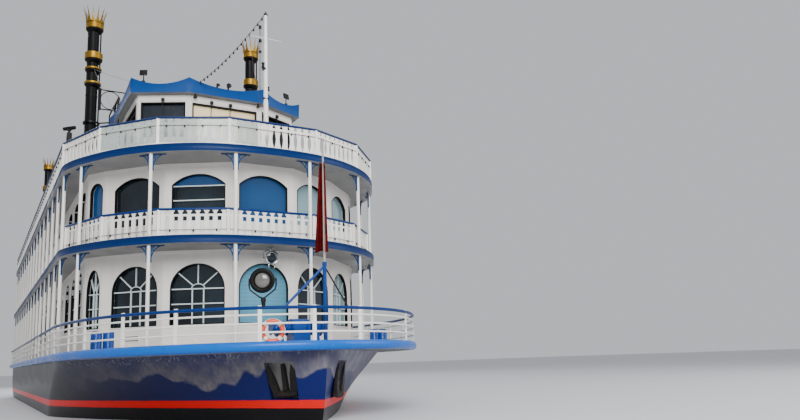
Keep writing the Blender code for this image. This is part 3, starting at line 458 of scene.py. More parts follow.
def paint(name, colour, stain=(92, 88, 80), stained=0.5, streaked=0.5, size=1.0,
          gloss=(0.35, 0.6), dust=0.5, bump=0.02, coat=0.0, shine=0.5):
    """Paint that has stood outdoors, from the two groups. A low shine keeps dark paint
    dark under a pale sky."""
    material, tree, shader = blank(name)
    worn = weathered(tree, shader, linear(*colour), stain, stained, streaked, size, gloss,
                     0.5, bump)
    dusty = add(tree, "Group", {"Colour": worn, "Dust": linear(176, 172, 165), "Amount": dust},
                node_tree=edges)
    feed(tree, shader, {"Base Color": dusty.outputs["Colour"], "Specular IOR Level": shine,
                        "Coat Weight": coat, "Coat Roughness": 0.12})
    return material


white = paint("white paint", (232, 229, 223), (120, 112, 100), 0.30, 0.40, bump=0.003)
wall_white = paint("wall paint", (226, 221, 214), (122, 116, 106), 0.30, 0.25, bump=0.004)
bar_grey = paint("glazing bar white", (198, 208, 210), (110, 112, 110), 0.3, 0.3, dust=0.3,
                 bump=0.002)
rail_navy = paint("handrail navy", (12, 38, 88), (34, 44, 66), 0.3, 0.3, gloss=(0.3, 0.5),
                  dust=0.05, bump=0.003, shine=0.18)
rail_blue = paint("handrail blue", (3, 44, 104), (20, 40, 70), 0.3, 0.3, gloss=(0.3, 0.5),
                  dust=0.02, bump=0.003, shine=0.15)
sky_blue = paint("guard blue", (0, 90, 182), (20, 70, 120), 0.22, 0.4, gloss=(0.25, 0.45),
                 dust=0.03, bump=0.003, coat=0.05, shine=0.2)
jack_blue = paint("staff blue", (6, 56, 124), (30, 46, 80), 0.3, 0.3, gloss=(0.3, 0.5), dust=0.05,
                  bump=0.003, shine=0.18)
gear_blue = paint("deck gear blue", (2, 62, 142), (10, 28, 58), 0.5, 0.4, gloss=(0.25, 0.5),
                  dust=0.06, bump=0.004, coat=0.1, shine=0.25)
bracket_blue = paint("bracket blue", (26, 62, 104), (40, 54, 84), 0.3, 0.3, dust=0.0, bump=0.003,
                     shine=0.15)
pocket_grey = paint("pocket lining", (124, 122, 120), (40, 44, 60), 0.6, 0.6, bump=0.006)
staff_grey = paint("weathered staff", (158, 148, 140), (96, 84, 76), 0.5, 0.6, size=2, dust=0.1,
                   bump=0.002)
wheel_blue = paint("beam blue", (8, 58, 134), (40, 50, 70), 0.5, 0.6, dust=0.15, bump=0.006,
                   shine=0.2)
black = paint("stack black", (4, 4, 5), (30, 28, 26), 0.35, 0.5, gloss=(0.35, 0.55), dust=0.05,
              bump=0.003, shine=0.15)
iron = paint("dark iron", (16, 16, 18), (64, 50, 40), 0.45, 0.5, gloss=(0.4, 0.65), dust=0.12,
             shine=0.2)
rubber = paint("window seal", (13, 14, 15), (44, 44, 44), 0.3, 0.2, gloss=(0.5, 0.75), dust=0.1,
               bump=0.001, shine=0.15)
brown_wire = paint("lamp wire", (58, 40, 28), (30, 26, 24), 0.4, 0.2, size=6, dust=0.0, bump=0.001,
                   shine=0.2)
dark_lamp = paint("dark lamp", (22, 19, 18), (70, 64, 54), 0.3, 0.1, size=8, gloss=(0.15, 0.3),
                  dust=0.0, bump=0.001, coat=0.3, shine=0.3)
grey = paint("machinery grey", (126, 128, 130), (70, 66, 60), 0.5, 0.5)
panel_grey = paint("rail panel", (208, 208, 206), (120, 120, 116), 0.4, 0.6, dust=0.2, bump=0.003)
deck_grey = paint("deck grey", (108, 110, 112), (70, 68, 64), 0.6, 0.0, gloss=(0.55, 0.8),
                  dust=0.2, bump=0.006)
wheel_red = paint("wheel red", (150, 8, 6), (60, 22, 18), 0.5, 0.6, size=1.5,
                  gloss=(0.35, 0.6), dust=0.08, bump=0.008, shine=0.2)
orange = paint("float orange", (226, 70, 26), (140, 50, 30), 0.4, 0.2, size=4, dust=0.2,
               bump=0.003)
lamp_white = paint("band white", (226, 224, 218), (140, 134, 124), 0.3, 0.4, size=2, dust=0.2,
                   bump=0.003)
print("paints:", len(bpy.data.materials))

# %% [markdown]
# ## Gold, steel and glass
#
# The crowns and bands of the stacks are gilded, so their colour sits on a metallic
# shader. Gloss alone looks like plastic, so small changes in roughness and a soft
# hammered bump break up the reflections. The window glass is dark because the rooms
# behind it are unlit. Paler clouds in the colour of every pane are painted reflection, and
# the bright glass of some windows is a painted reflection all over. The blinds get a clear
# coat that stands for the pane before them.

# %% Metals, glass, blinds and cloth


def metal(name, colour, gloss, tarnish, amount=0.35):
    """Bare or gilded metal with a slight tarnish."""
    material, tree, shader = blank(name)
    weathered(tree, shader, linear(*colour), tarnish, amount, 0.5, 6.0, gloss, 0.4, 0.003)
    feed(tree, shader, {"Metallic": 1.0})
    return material


def pane(name, colour, stripes=0.0, pale=(1.2, 1.2, 1.2), gloss=0.07, coat=0.3):
    """What shows in a window: dark glass, or a blind with its fine slats, under a clear
    coat. Its colour turns paler in soft clouds, pale times as bright, as painted reflection.
    The slats are waves up the height."""
    material, tree, shader = blank(name)
    where = place_of(tree)
    cloud = ramp(tree, noise(tree, where, 1.3, 4.0), 0.35, 0.7)
    colour = linear(*colour)
    lit = tuple(min(1.0, c * p + 0.01) for c, p in zip(colour[:3], pale)) + (1,)
    tone = mixed(tree, times(tree, cloud, 0.6), colour, lit)
    if stripes:
        slats = add(tree, "TexWave", {"Vector": where, "Scale": stripes, "Distortion": 0.0},
                    bands_direction="Z").outputs[1]
        tone = mixed(tree, ramp(tree, slats, 0.0, 1.0, 0.0, 0.22), tone,
                     tuple(c * 0.55 for c in colour[:3]) + (1,))
    smear = ramp(tree, noise(tree, where, 7.0, 5.0), 0.3, 0.8, gloss, gloss + 0.12)
    feed(tree, shader, {
        "Base Color": tone, "Roughness": smear,
        "Normal": bumped(tree, noise(tree, where, 2.2, 1.0), 0.25, 0.01),
        "Specular IOR Level": 0.3, "Coat Weight": coat, "Coat Roughness": 0.03,
    })
    return material


gold = metal("gilding", (156, 119, 42), (0.36, 0.52), tarnish=(66, 50, 22))
steel = metal("bright steel", (176, 178, 180), (0.10, 0.26), tarnish=(70, 68, 64), amount=0.6)
# The paler clouds in every pane below are painted reflection; in the lamp glass, a painted
# highlight
dark_glass = pane("dark window glass", (7, 14, 19), pale=(5.0, 6.0, 6.0), coat=0.2)
# The bright glass's whole colour is a painted reflection
glare_glass = pane("glass with painted reflection", (120, 152, 158), pale=(1.6, 1.5, 1.5), coat=0.6)
blue_blind = pane("blue blind", (14, 62, 108), pale=(1.8, 1.3, 1.2))
teal_blind = pane("teal blind", (84, 142, 166), 5.0, gloss=0.2)
cream_blind = pane("cream blind", (250, 224, 176), 9.0, gloss=0.25)
grey_blind = pane("grey blind", (24, 31, 40), 9.0, gloss=0.2, coat=0.1)
lens = pane("lamp glass", (84, 82, 78), pale=(2.2, 2.2, 2.2), gloss=0.05, coat=0.8)

# %% The clear screen on the top rail
windscreen, tree, shader = blank("clear rail screen")
where = place_of(tree)
cloudy = ramp(tree, noise(tree, where, 2.4, 5.0), 0.35, 0.7)
drips = ramp(tree, noise(tree, where, 11.0, 3.0, (1.0, 1.0, 0.08)), 0.48, 0.75)
dirt = times(tree, times(tree, drips, 0.7), cloudy, "MAXIMUM")
feed(tree, shader, {
    "Base Color": mixed(tree, dirt, linear(148, 172, 170), linear(196, 204, 198)),
    "Alpha": ramp(tree, dirt, 0.0, 1.0, 0.26, 0.50),
    "Roughness": ramp(tree, dirt, 0.0, 1.0, 0.10, 0.35),
    "Coat Weight": 0.6,
})

# %% Flag cloth
flag_cloth, tree, shader = blank("dark red flag cloth")
where = place_of(tree)
weave = add(tree, "TexWave", {"Vector": where, "Scale": 60.0}, bands_direction="Z").outputs[1]
tone = mixed(tree, ramp(tree, noise(tree, where, 9.0, 4.0), 0.35, 0.7), linear(98, 4, 6),
             linear(46, 2, 4))
feed(tree, shader, {"Base Color": tone, "Normal": bumped(tree, weave, 0.3, 0.002),
                    "Roughness": 0.85, "Specular IOR Level": 0.1})
print("materials:", len(bpy.data.materials))

# %% [markdown]
# ## The hull's colours
#
# The real hull is black at the water, with a red stripe and dark blue above it. Aft of the
# bow the blue is painted near black, as painted shade. Pale frost clings to the plates under
# the guard, with a hard and crooked lower edge near the bow, and fades towards the stern. On
# the starboard side it also thins towards the top, as painted shade under the guard. Strips
# of hull could carry the colours, but their joints would show. One material changes colour
# with height and place instead.

# %% Hull paint
hull_paint, tree, shader = blank("hull paint")
where = place_of(tree)
ahead_x, port_y, height = add(tree, "SeparateXYZ", {0: where}).outputs
wobble = times(tree, noise(tree, where, 6.0, 3.0), 0.012)
edge = times(tree, height, wobble, "ADD")
STRIPE_LOW, STRIPE_HIGH = 0.906, 1.016
red_share = times(tree, ramp(tree, edge, STRIPE_LOW, STRIPE_LOW + 0.004),
                  ramp(tree, edge, STRIPE_HIGH, STRIPE_HIGH + 0.004, 1.0, 0.0))
navy_share = ramp(tree, edge, STRIPE_HIGH, STRIPE_HIGH + 0.004)
# Aft of the bow the blue turns near black: painted shade along the hull
aft_painted_shade = ramp(tree, ahead_x, 6.5, 10.2)
navy = mixed(tree, aft_painted_shade, linear(9, 13, 24), linear(10, 22, 86))
tone = mixed(tree, navy_share, linear(10, 10, 12), navy)
tone = mixed(tree, red_share, tone, linear(218, 0, 0))
# The frost's lower edge swings by some 20 cm; inside it, fine streaks run down
swing = times(tree, ramp(tree, noise(tree, where, 1.15, 2.0, (1.0, 1.0, 0.4)), 0.30, 0.70, -0.16,
                         0.20), times(tree, noise(tree, where, 9.0, 4.0), 0.05), "ADD")
lifted = times(tree, height, swing, "SUBTRACT")
under_edge = ramp(tree, lifted, 1.235, 1.265)
# On the starboard side the frost thins towards the top: painted shade under the guard
frost_under_guard_shade = ramp(tree, lifted, 1.30, 1.60, 1.0, 0.25)
fore_only = ramp(tree, ahead_x, 6.8, 10.0, 0.10, 1.0)
port_side = ramp(tree, port_y, 0.14, 0.42)
frost_under_guard_shade = times(tree, frost_under_guard_shade, port_side, "MAXIMUM")
streaky = ramp(tree, noise(tree, where, 16.0, 5.0, (1.0, 1.0, 0.16)), 0.30, 0.66, 0.60, 1.0)
blotchy = ramp(tree, noise(tree, where, 5.0, 6.0), 0.34, 0.60, 0.62, 1.0)
frost = times(tree, times(tree, under_edge, frost_under_guard_shade), times(tree, streaky, blotchy))
frost = times(tree, frost, fore_only)
frosted = mixed(tree, port_side, linear(126, 122, 119), linear(160, 159, 166))
tone = mixed(tree, times(tree, frost, 0.92), tone, frosted)
drips = times(tree, ramp(tree, noise(tree, where, 34.0, 3.0, (1.0, 1.0, 0.10)), 0.56, 0.70),
              ramp(tree, height, 1.50, 1.66))
tone = mixed(tree, times(tree, drips, 0.35), tone, linear(190, 192, 198))
worn_low = times(tree, ramp(tree, noise(tree, where, 3.0, 6.0), 0.50, 0.72),
                 ramp(tree, height, 0.0, 0.80, 1.0, 0.0))
tone = mixed(tree, times(tree, worn_low, 0.5), tone, linear(70, 62, 54))
dents = noise(tree, where, 1.6, 2.0)
feed(tree, shader, {"Base Color": tone, "Roughness": ramp(tree, frost, 0.0, 0.6, 0.34, 0.72),
                    "Specular IOR Level": 0.2, "Normal": bumped(tree, dents, 0.30, 0.03)})
print("hull paint has", len(tree.nodes), "nodes")

# %% [markdown]
# ## Putting a piece in the scene
#
# Every new piece goes through one function. It puts the arrays into a mesh, turns the
# faces outwards, marks the corners sharper than an angle so that the rest looks smooth,
# and ties the piece to the solid body that carries it.

# %% The piece function


def put(name, data):
    """A new object in the scene."""
    made = bpy.data.objects.new(name, data)
    bpy.context.scene.collection.objects.link(made)
    return made


def piece(name, form, finish, body="boat", smooth=32, bevel=0.0, replaces=()):
    """One object of the scene from a shape, riding on a body."""
    points, quads, triangles = form
    mesh = bpy.data.meshes.new(name)
    mesh.vertices.add(len(points))
    mesh.vertices.foreach_set("co", points.astype(np.float32).ravel())
    mesh.loops.add(quads.size + triangles.size)
    mesh.loops.foreach_set("vertex_index", np.concatenate([quads.ravel(), triangles.ravel()]))
    mesh.polygons.add(len(quads) + len(triangles))
    starts = [np.arange(len(quads)) * 4, quads.size + np.arange(len(triangles)) * 3]
    mesh.polygons.foreach_set("loop_start", np.concatenate(starts))
    mesh.update(calc_edges=True)
    bm = bmesh.new()
    bm.from_mesh(mesh)
    bmesh.ops.remove_doubles(bm, verts=bm.verts, dist=1e-6)
    bmesh.ops.recalc_face_normals(bm, faces=bm.faces)
    bm.to_mesh(mesh)
    bm.free()
    mesh.polygons.foreach_set("use_smooth", np.ones(len(mesh.polygons), bool))
    mesh.set_sharp_from_angle(angle=np.radians(smooth))
    made = put(name, mesh)
    mesh.materials.append(finish)
    if bevel:
        soften = made.modifiers.new("soft edges", "BEVEL")
        soften.width, soften.segments, soften.limit_method = bevel, 2, "ANGLE"
    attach(made, body)
    if replaces:
        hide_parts(*([replaces] if isinstance(replaces, str) else replaces))
    print(f"{name}: {len(mesh.polygons)} faces")
    return made


def coat(finish, *names):
    """The solids that keep their own form get a finish."""
    for name in names:
        nodes[name].data.materials.clear()
        nodes[name].data.materials.append(finish)


def of(word):
    """The names of the solids that hold a word."""
    return [name for name in nodes if word in name]


# %% [markdown]
# ## Solids that keep their form
#
# Walls, doors, beams and blocks are flat on the real boat, so their solids are right as
# they are and only need paint.

# %% Paint for the solids
coat(wall_white, *of("_wall"), "wheelhouse_front", "wheelhouse_back")
coat(white, *of("_door_"), *of("gate_"))
coat(dark_glass, *of("glazing"))
coat(black, *of("stack_frame"))
coat(wheel_blue, *of("wheel_beam"))
coat(grey, "engine", *of("rudder"))
coat(deck_grey, "main_deck")
print("painted", sum(1 for n in nodes.values() if n.data.materials))

# %% [markdown]
# ## Hull
#
# The hull is a flat-bottomed steel shell with a fine bow and straight sides. A box with
# its front squeezed would look heavy. Here each waterline is a formula: the half width
# grows from the stem as one minus a power of the distance still to go, and the stem,
# beam and power change smoothly with height.

# %% Hull skin with its anchor pockets
LEVELS = np.array([
    (0.00, 10.60, 6.4, 2.45, 1.30, -6.20),
    (0.25, 10.90, 6.2, 2.72, 1.30, -6.80),
    (0.70, 11.15, 6.0, 2.84, 1.32, -7.90),
    (1.00, 11.24, 5.7, 2.87, 1.36, STERN),
    (1.6697, 11.36, 4.6, 2.89, 1.68, STERN),
])


def eased(knots, values, at):
    """A smooth curve through values at knots: between two knots, the cubic that leaves
    and arrives with the slope of the values round it."""
    slope = np.gradient(values, knots)
    i = np.clip(np.searchsorted(knots, at) - 1, 0, len(knots) - 2)
    span = knots[i + 1] - knots[i]
    return cubic((at - knots[i]) / span, values[i], values[i + 1], slope[i] * span,
                 slope[i + 1] * span)


def hull_rings(heights, points=72):
    """Waterlines at these heights: y = half beam x (1 - (1 - t)^fullness), x = stem -
    entrance x t, with each number on a smooth curve through the given levels."""
    curves = [eased(LEVELS[:, 0], LEVELS[:, k], heights) for k in range(1, 5)]
    stem, entrance, beam, fullness = (curve[:, None] for curve in curves)
    t = np.linspace(0, 1, points)[None] ** 1.25
    x, y = stem - entrance * t, beam * (1 - (1 - t) ** fullness)
    transom = np.interp(heights, LEVELS[:, 0], LEVELS[:, 5])[:, None]
    x, y = np.hstack([x, transom]), np.hstack([y, y[:, -1:]])
    x, y = np.hstack([x[:, :0:-1], x]), np.hstack([-y[:, :0:-1], y])
    return np.stack([x, y, np.broadcast_to(np.asarray(heights)[:, None], x.shape)], -1)


heights = np.linspace(0, LEVELS[-1, 0], 28)
hull = piece("hull_plating", skin(hull_rings(heights)), hull_paint,
             replaces="hull")

# Each pocket's middle, and half its size along its own three ways
POCKET_AT, POCKET_HALF = np.array([10.76, 0.42, 1.27]), np.array([0.12, 0.23, 0.27])
pocket_out = unit([0.61, 0.75, -0.26])
pocket_side = unit(np.cross((0, 0, 1), pocket_out))
pocket_up = np.cross(pocket_out, pocket_side)


def in_pocket(form, side):
    """A shape given as (out, to the side, up) from the pocket's middle, on one bow."""
    points = POCKET_AT + form[0] @ np.stack([pocket_out, pocket_side, pocket_up])
    return shape(points * (1, side, 1), form[1], form[2])


pockets = together(*(in_pocket(block(-POCKET_HALF, POCKET_HALF + (0.53, 0, 0)), side)
                     for _, side in SIDES))
cutter = piece("pocket_cutter", pockets, black)
cut = hull.modifiers.new("pockets", "BOOLEAN")
cut.object, cut.operation, cut.solver = cutter, "DIFFERENCE", "EXACT"
seen = hull.evaluated_get(bpy.context.evaluated_depsgraph_get())
ready = bpy.data.meshes.new_from_object(seen)
hull.modifiers.clear()
hull.data = ready
ready.set_sharp_from_angle(angle=np.radians(32))
bpy.data.objects.remove(cutter)
print("hull:", len(ready.polygons), "faces")

# %% [markdown]
# ## Anchors
#
# A stockless anchor rests in a pocket on each bow, its shank in the hull and its flukes
# folded up. A block would do from afar, but the flukes' pointed palms are what the eye
# knows it by, so they are tapered plates on a round crown. The port one leans out.

# %% Anchors in their pockets


def tapered(path, wide, thick):
    """A bar that changes along its path, wide to the sides and thick outwards."""
    return barred(np.asarray(path, float), wide, thick, (0, 1, 0), (1, 0, 0))


anchor = together(
    tapered([(-0.085, 0, -0.20), (-0.085, 0, 0.17), (-0.07, 0, 0.22)], [0.040, 0.030, 0.02],
            [0.03, 0.025, 0.02]),
    turned([(0.040, -0.19), (0.05, -0.10), (0.05, 0.10), (0.040, 0.19)], 16,
           (-0.068, 0, -0.20), (0, 1, 0)),
    tapered([(-0.075, -0.14, -0.235), (-0.06, 0.0, -0.15), (-0.075, 0.14, -0.235)],
            [0.03, 0.05, 0.03], [0.02, 0.03, 0.02]),
    *(tapered([(-0.07, s * 0.13, -0.23), (-0.045, s * 0.165, -0.05), (-0.015, s * 0.180, 0.10),
               (0.01, s * 0.175, 0.235)], [0.052, 0.060, 0.050, 0.005],
              [0.032, 0.022, 0.016, 0.006]) for s in (-1, 1)),
)
for side_name, side in SIDES:
    lean = 0.0 if side < 0 else 0.30
    points = anchor[0] + np.column_stack([lean * (0.24 - anchor[0][:, 2]), 0 * anchor[0][:, :2]])
    piece(f"bow_anchor_{side_name}", in_pocket(shape(points, anchor[1], anchor[2]), side), iron,
          bevel=0.006, replaces=f"anchor_{side_name}")
linings = together(*(in_pocket(block((-0.119, -0.228, -0.268), (-0.112, 0.228, 0.268)), side)
                     for _, side in SIDES))
piece("pocket_linings", linings, pocket_grey)

# %% [markdown]
# ## Guard round the main deck
#
# A heavy half-round rubbing strake in bright blue runs round the deck's edge. It is a
# rounded profile carried along the deck's plan, on the mitre.

# %% Guard
guard_line = rounded(guard_plan, 6)
round_edge = np.linspace(-np.pi / 2, np.pi / 2, 9)
strake = np.column_stack([0.05 * np.cos(round_edge) - 0.05,
                          0.065 * np.sin(round_edge) + 0.065])
strake = np.vstack([strake, [(-0.08, 0.13), (-0.08, 0.0)]])
piece("rubbing_guard", moulding(level(guard_line, 1.67), strake), sky_blue,
      replaces="guard")
print("guard line has", len(guard_line), "points")

# %% [markdown]
# ## Decks
#
# The two upper decks are grey underfoot, pale beneath, and have a blue fascia with a
# bead at its top and foot. One skin goes from the underside up round the edge, and the
# material tells the faces apart by the way they look.

# %% Deck finish and decks


def by_facing(name, top, side, under):
    """A finish with one paint colour on level tops, one on edges and one beneath, each
    under the same weather."""
    material, tree, shader = blank(name)
    facing = upward_share(tree)
    tone = mixed(tree, ramp(tree, facing, 0.80, 0.90), linear(*side), linear(*top))
    tone = mixed(tree, ramp(tree, facing, -0.80, -0.90), tone, linear(*under))
    weathered(tree, shader, tone, (16, 40, 78), 0.3, 0.35, 1.0, (0.35, 0.6), 0.4, 0.005)
    feed(tree, shader, {"Specular IOR Level": 0.15})
    return material


deck_finish = by_facing("deck and fascia", (104, 106, 108), (0, 36, 86), (152, 149, 146))
FASCIA = ((0.03, 0.0), (0.012, 0.0), (0.0, 0.008), (0.0, 0.020), (0.006, 0.026),
          (0.006, 0.108), (0.0, 0.114), (0.0, 0.127), (0.010, 0.135), (0.03, 0.135))
deck_curve = rounded(deck_plan, 8)
for name, under, solid in (("second_deck_plate", SECOND_UNDER, "second_deck"),
                           ("sun_deck_plate", SUN_UNDER, "sun_deck")):
    rings = [level(inset(deck_curve, back), under + up) for back, up in FASCIA]
    piece(name, skin(rings), deck_finish, smooth=50, replaces=solid)

# %% [markdown]
# ## Rail round the main deck
#
# The main deck's rail is pipework: a blue handrail, three thin white pipes and flat white
# posts. It stops at a gate on each side. The bow's posts stand where the real ones do,
# which is a set of distances round from the stem.

# %% Main rail
GATE_X, GATE_HALF, RAIL_Y, RAIL_Z, PIPE_HEIGHTS = 3.42, 0.43, 2.95, 2.236, (1.915, 2.03, 2.145)
gate_from, gate_to = GATE_X - GATE_HALF, GATE_X + GATE_HALF
main_line = inset(guard_line, 0.05)
fore = main_line[main_line[:, 0] > gate_to]
# The posts each side of a gate stand a little back, so that it swings clear of them
BACK = 0.03
fore = np.vstack([[(gate_to + BACK, -RAIL_Y)], fore, [(gate_to + BACK, RAIL_Y)]])
aft = [(gate_from - BACK, RAIL_Y), (STERN + 0.05, RAIL_Y)]
aft = np.array(aft + [(x, -y) for x, y in aft[::-1]])
FORE_POSTS = (-4.05, -3.02, -2.09, -0.93, -0.22, 0.50, 1.87, 2.97, 4.05)


def lengths_along(line):
    """How far along a line each of its points is."""
    return np.concatenate([[0], np.cumsum(np.linalg.norm(np.diff(line, axis=0), axis=1))])


def at_runs(line, runs):
    """Places this far along a line, and the way out there."""
    run = lengths_along(line)
    at, ahead, behind = (np.column_stack([np.interp(runs + step, run, line[:, k])
                                          for k in (0, 1)]) for step in (0.0, 0.01, -0.01))
    way = unit(ahead - behind)
    return at, np.column_stack([way[:, 1], -way[:, 0], np.zeros(len(at))])


def bow_x(line, y):
    """Where a line round the deck crosses the bow at this distance to the side."""
    port = line[len(line) // 2:]
    return np.interp(np.abs(y), port[:, 1], port[:, 0])


octagon = np.column_stack([np.cos(turn_steps(8, 0.5)), np.sin(turn_steps(8, 0.5))])
fore_length = lengths_along(fore)
stem_run, whole = fore_length[np.argmax(fore[:, 0])], fore_length[-1]
side_runs = np.arange(0.0, stem_run - 4.3, 1.05)
fore_runs = np.concatenate([side_runs, stem_run + np.array(FORE_POSTS), whole - side_runs[::-1]])
aft_length = lengths_along(aft)[-1]
aft_runs = np.linspace(0, aft_length, int(round(aft_length / 1.1)) + 1)
pipes, hand = [], []
for line, runs in ((fore, fore_runs), (aft, aft_runs)):
    for z in PIPE_HEIGHTS:
        pipes.append(moulding(level(line, z), octagon * 0.0135, loop=False))
    hand.append(moulding(level(line, RAIL_Z), octagon * 0.023, loop=False))
    at, out = at_runs(line, runs)
    pipes.append(copies(post, level(at, 1.80), out, size=(0.026, 0.009, 0.468)))
piece("main_rail_pipes", together(*pipes), white, replaces="main_rail")
piece("main_rail_handrail", together(*hand), rail_blue)
for side_name, side in SIDES:
    line = [(x, side * RAIL_Y, RAIL_Z + 0.009) for x in (gate_from + 0.04, gate_to - 0.04)]
    piece(f"gate_handrail_{side_name}", tube(line, 0.024, 10), rail_blue,
          body=f"gate_{side_name}_body")

# %% [markdown]
# ## Balustrades of the upper decks
#
# Both upper decks have carved boards side by side under a blue handrail. A board is flat,
# with its two edges cut to the same curve. Each could be a separate object, but three
# hundred objects are slow to handle, so one board's points are repeated in one sum.

# %% Balustrades


def board(profile, thick):
    """A flat board whose half width changes with height, from (height, half width)."""
    up, wide = np.transpose(profile)
    return barred(np.outer(up, (0, 0, 1)), wide, np.full(len(up), thick / 2), (1, 0, 0), (0, 1, 0))


T_BOARD = ((0.028, 0.050), (0.050, 0.050), (0.065, 0.036), (0.320, 0.036), (0.345, 0.020),
           (0.380, 0.022), (0.400, 0.036), (0.415, 0.045), (0.430, 0.046))
VASE_BOARD = ((0.028, 0.052), (0.05, 0.050), (0.12, 0.034), (0.18, 0.028), (0.25, 0.036),
              (0.31, 0.050), (0.34, 0.050), (0.37, 0.032), (0.395, 0.040), (0.41, 0.054),
              (0.425, 0.054))
HANDRAIL = ((-0.030, 0.008), (-0.022, 0.0), (0.022, 0.0), (0.030, 0.008), (0.030, 0.024),
            (0.018, 0.035), (-0.018, 0.035), (-0.030, 0.024))
FOOT = ((-0.017, 0.0), (0.017, 0.0), (0.017, 0.026), (0.012, 0.032), (-0.012, 0.032),
        (-0.017, 0.026))
CROSS = SQUARE * (0.007, 0.017)
bulb = turned([(0.0, -0.030), (0.010, -0.028), (0.015, -0.018), (0.012, -0.006), (0.008, 0.0),
               (0.009, 0.010), (0.0, 0.012)], 8)
second_plan, top_plan = inset(deck_plan, 0.13), inset(deck_plan, 0.035)
WIRE = SQUARE * 0.003
lights, wires = [], []
for name, floor, plan_line, profile, pitch, cross_up, light_up, finish, solid in (
    ("second", SECOND_DECK, second_plan, T_BOARD, 0.133, 0.339, 0.105, rail_blue, "second_rail"),
    ("top", SUN_DECK, top_plan, VASE_BOARD, 0.122, 0.345, 0.305, rail_navy, "top_rail"),
):
    at, out = stations(plan_line, pitch)
    corner_out = unit(plan_line - np.array([2.0, 0.0]))
    corner_out = np.column_stack([corner_out, np.zeros(len(corner_out))])
    boards = [
        copies(board(profile, 0.016), level(at, floor), out),
        copies(post, level(plan_line, floor), corner_out, size=(0.022, 0.022, 0.43)),
        moulding(level(plan_line, floor + 0.0005), FOOT),
        moulding(level(plan_line, floor + cross_up), CROSS),
    ]
    piece(f"{name}_rail_boards", together(*boards), white, replaces=solid)
    piece(f"{name}_rail_handrail", moulding(level(plan_line, floor + 0.42), HANDRAIL), finish)
    # The wire stands off the boards, and its lamps hang from it every third of a metre
    wire_line = inset(plan_line, -0.020)
    wires.append(moulding(level(wire_line, floor + light_up), WIRE))
    at, out = stations(wire_line, 0.32)
    lights.append(copies(bulb, level(at, floor + light_up), out))
    hooks, out = stations(inset(plan_line, -0.010), 0.99)
    wires.append(copies(post, level(hooks, floor + light_up - 0.004), out,
                        size=(0.004, 0.012, 0.008)))
piece("rail_light_wires", together(*wires), brown_wire)
piece("rail_light_lamps", together(*lights), dark_lamp)

# %% Screen and panel on the front facets
# A plan's middle side is its foremost one, so sides count from there to port
middle_top = len(top_plan) // 2
screen_line = inset(top_plan, -0.012)
# The screen ends at its first post, a third of the way along the middle facet
ends = [screen_line[middle_top - 1] * (1 - share) + screen_line[middle_top] * share
        for share in (0.321, 0.642)]
screen_line = np.vstack([screen_line[middle_top - 3:middle_top], ends[:1]])
screen_posts = copies(post, level(np.array(ends) - (0.012, 0), SUN_DECK + 0.001), (1, 0, 0),
                      size=(0.018, 0.012, 0.43))
piece("top_rail_screen_posts", screen_posts, white)
strip = np.array([(-0.003, 0.0), (0.003, 0.0), (0.003, 1.0), (-0.003, 1.0)])
piece("top_rail_windscreen", moulding(level(screen_line, SUN_DECK + 0.02), strip * (1, 0.39),
                                      loop=False), windscreen)
behind = inset(second_plan, 0.014)[middle_top - 2:middle_top + 2]
piece("second_rail_panel", moulding(level(behind, SECOND_DECK + 0.03), strip * (1, 0.225),
                                    loop=False), panel_grey)

# %% [markdown]
# ## Columns and brackets
#
# Slim columns carry each deck's edge. At the top of each, a pierced blue bracket curves
# out to both sides along the edge. A flat triangle would read as a brace, so the bracket
# is a thin plate whose free edge is a hollow arc with a rim, like the real ones.

# %% Columns
COLUMN_IN = 0.066
column_plan = inset(rounded(deck_plan, 4), COLUMN_IN)
half = column_plan[len(column_plan) // 2:]


def between(line, place):
    """A point on a line, where 2.5 is half way from its third point to its fourth."""
    i = int(place)
    return line[i] + (place - i) * (line[i + 1] - line[i])


half_at = [between(half, 4 * 0.85 / 2), between(half, 4 * 1.61), between(half, 4 * 2.90)]
half_at += [np.array([x, half[-1, 1]]) for x in np.arange(6.86, half[-1, 0] + 0.5, -1.0)]
half_at = np.array(half_at + [half[-1], np.array([half[-1, 0], 0.95])])
round_boat = np.vstack([half_at[::-1] * (1, -1), half_at])
ahead = unit(np.roll(round_boat, -1, 0) - round_boat)
behind_way = -np.roll(ahead, 1, 0)


def column(high):
    """A column: a low base and a plain shaft."""
    return turned([(0.040, 0.0), (0.040, 0.022), (0.029, 0.032), (0.029, high)], 16)


REACH, DROP = 0.205, 0.27
SHAFT_R = 0.028
arc = np.linspace(0, np.pi / 2, 10)
hollow = np.column_stack([SHAFT_R + REACH * (1 - np.cos(arc)), 0 * arc, -DROP * (1 - np.sin(arc))])
corner = np.array([[SHAFT_R, 0.0, 0.0]])
inner_line = corner + 0.60 * (hollow - corner)


def fan_plate(line, thick):
    """A flat plate between a line and the bracket's own inner corner."""
    n = len(line)
    near = np.vstack([line, corner]) - (0, thick / 2, 0)
    far = near + (0, thick, 0)
    points = np.vstack([near, far])
    k = np.arange(n - 1)
    faces = np.vstack([np.column_stack([k, k + 1, np.full(n - 1, n)]),
                       np.column_stack([k + 1, k, np.full(n - 1, n)]) + n + 1])
    rim = np.arange(n + 1)
    after = np.roll(rim, -1)
    return shape(points, np.column_stack([rim, after, after + n + 1, rim + n + 1]), faces)


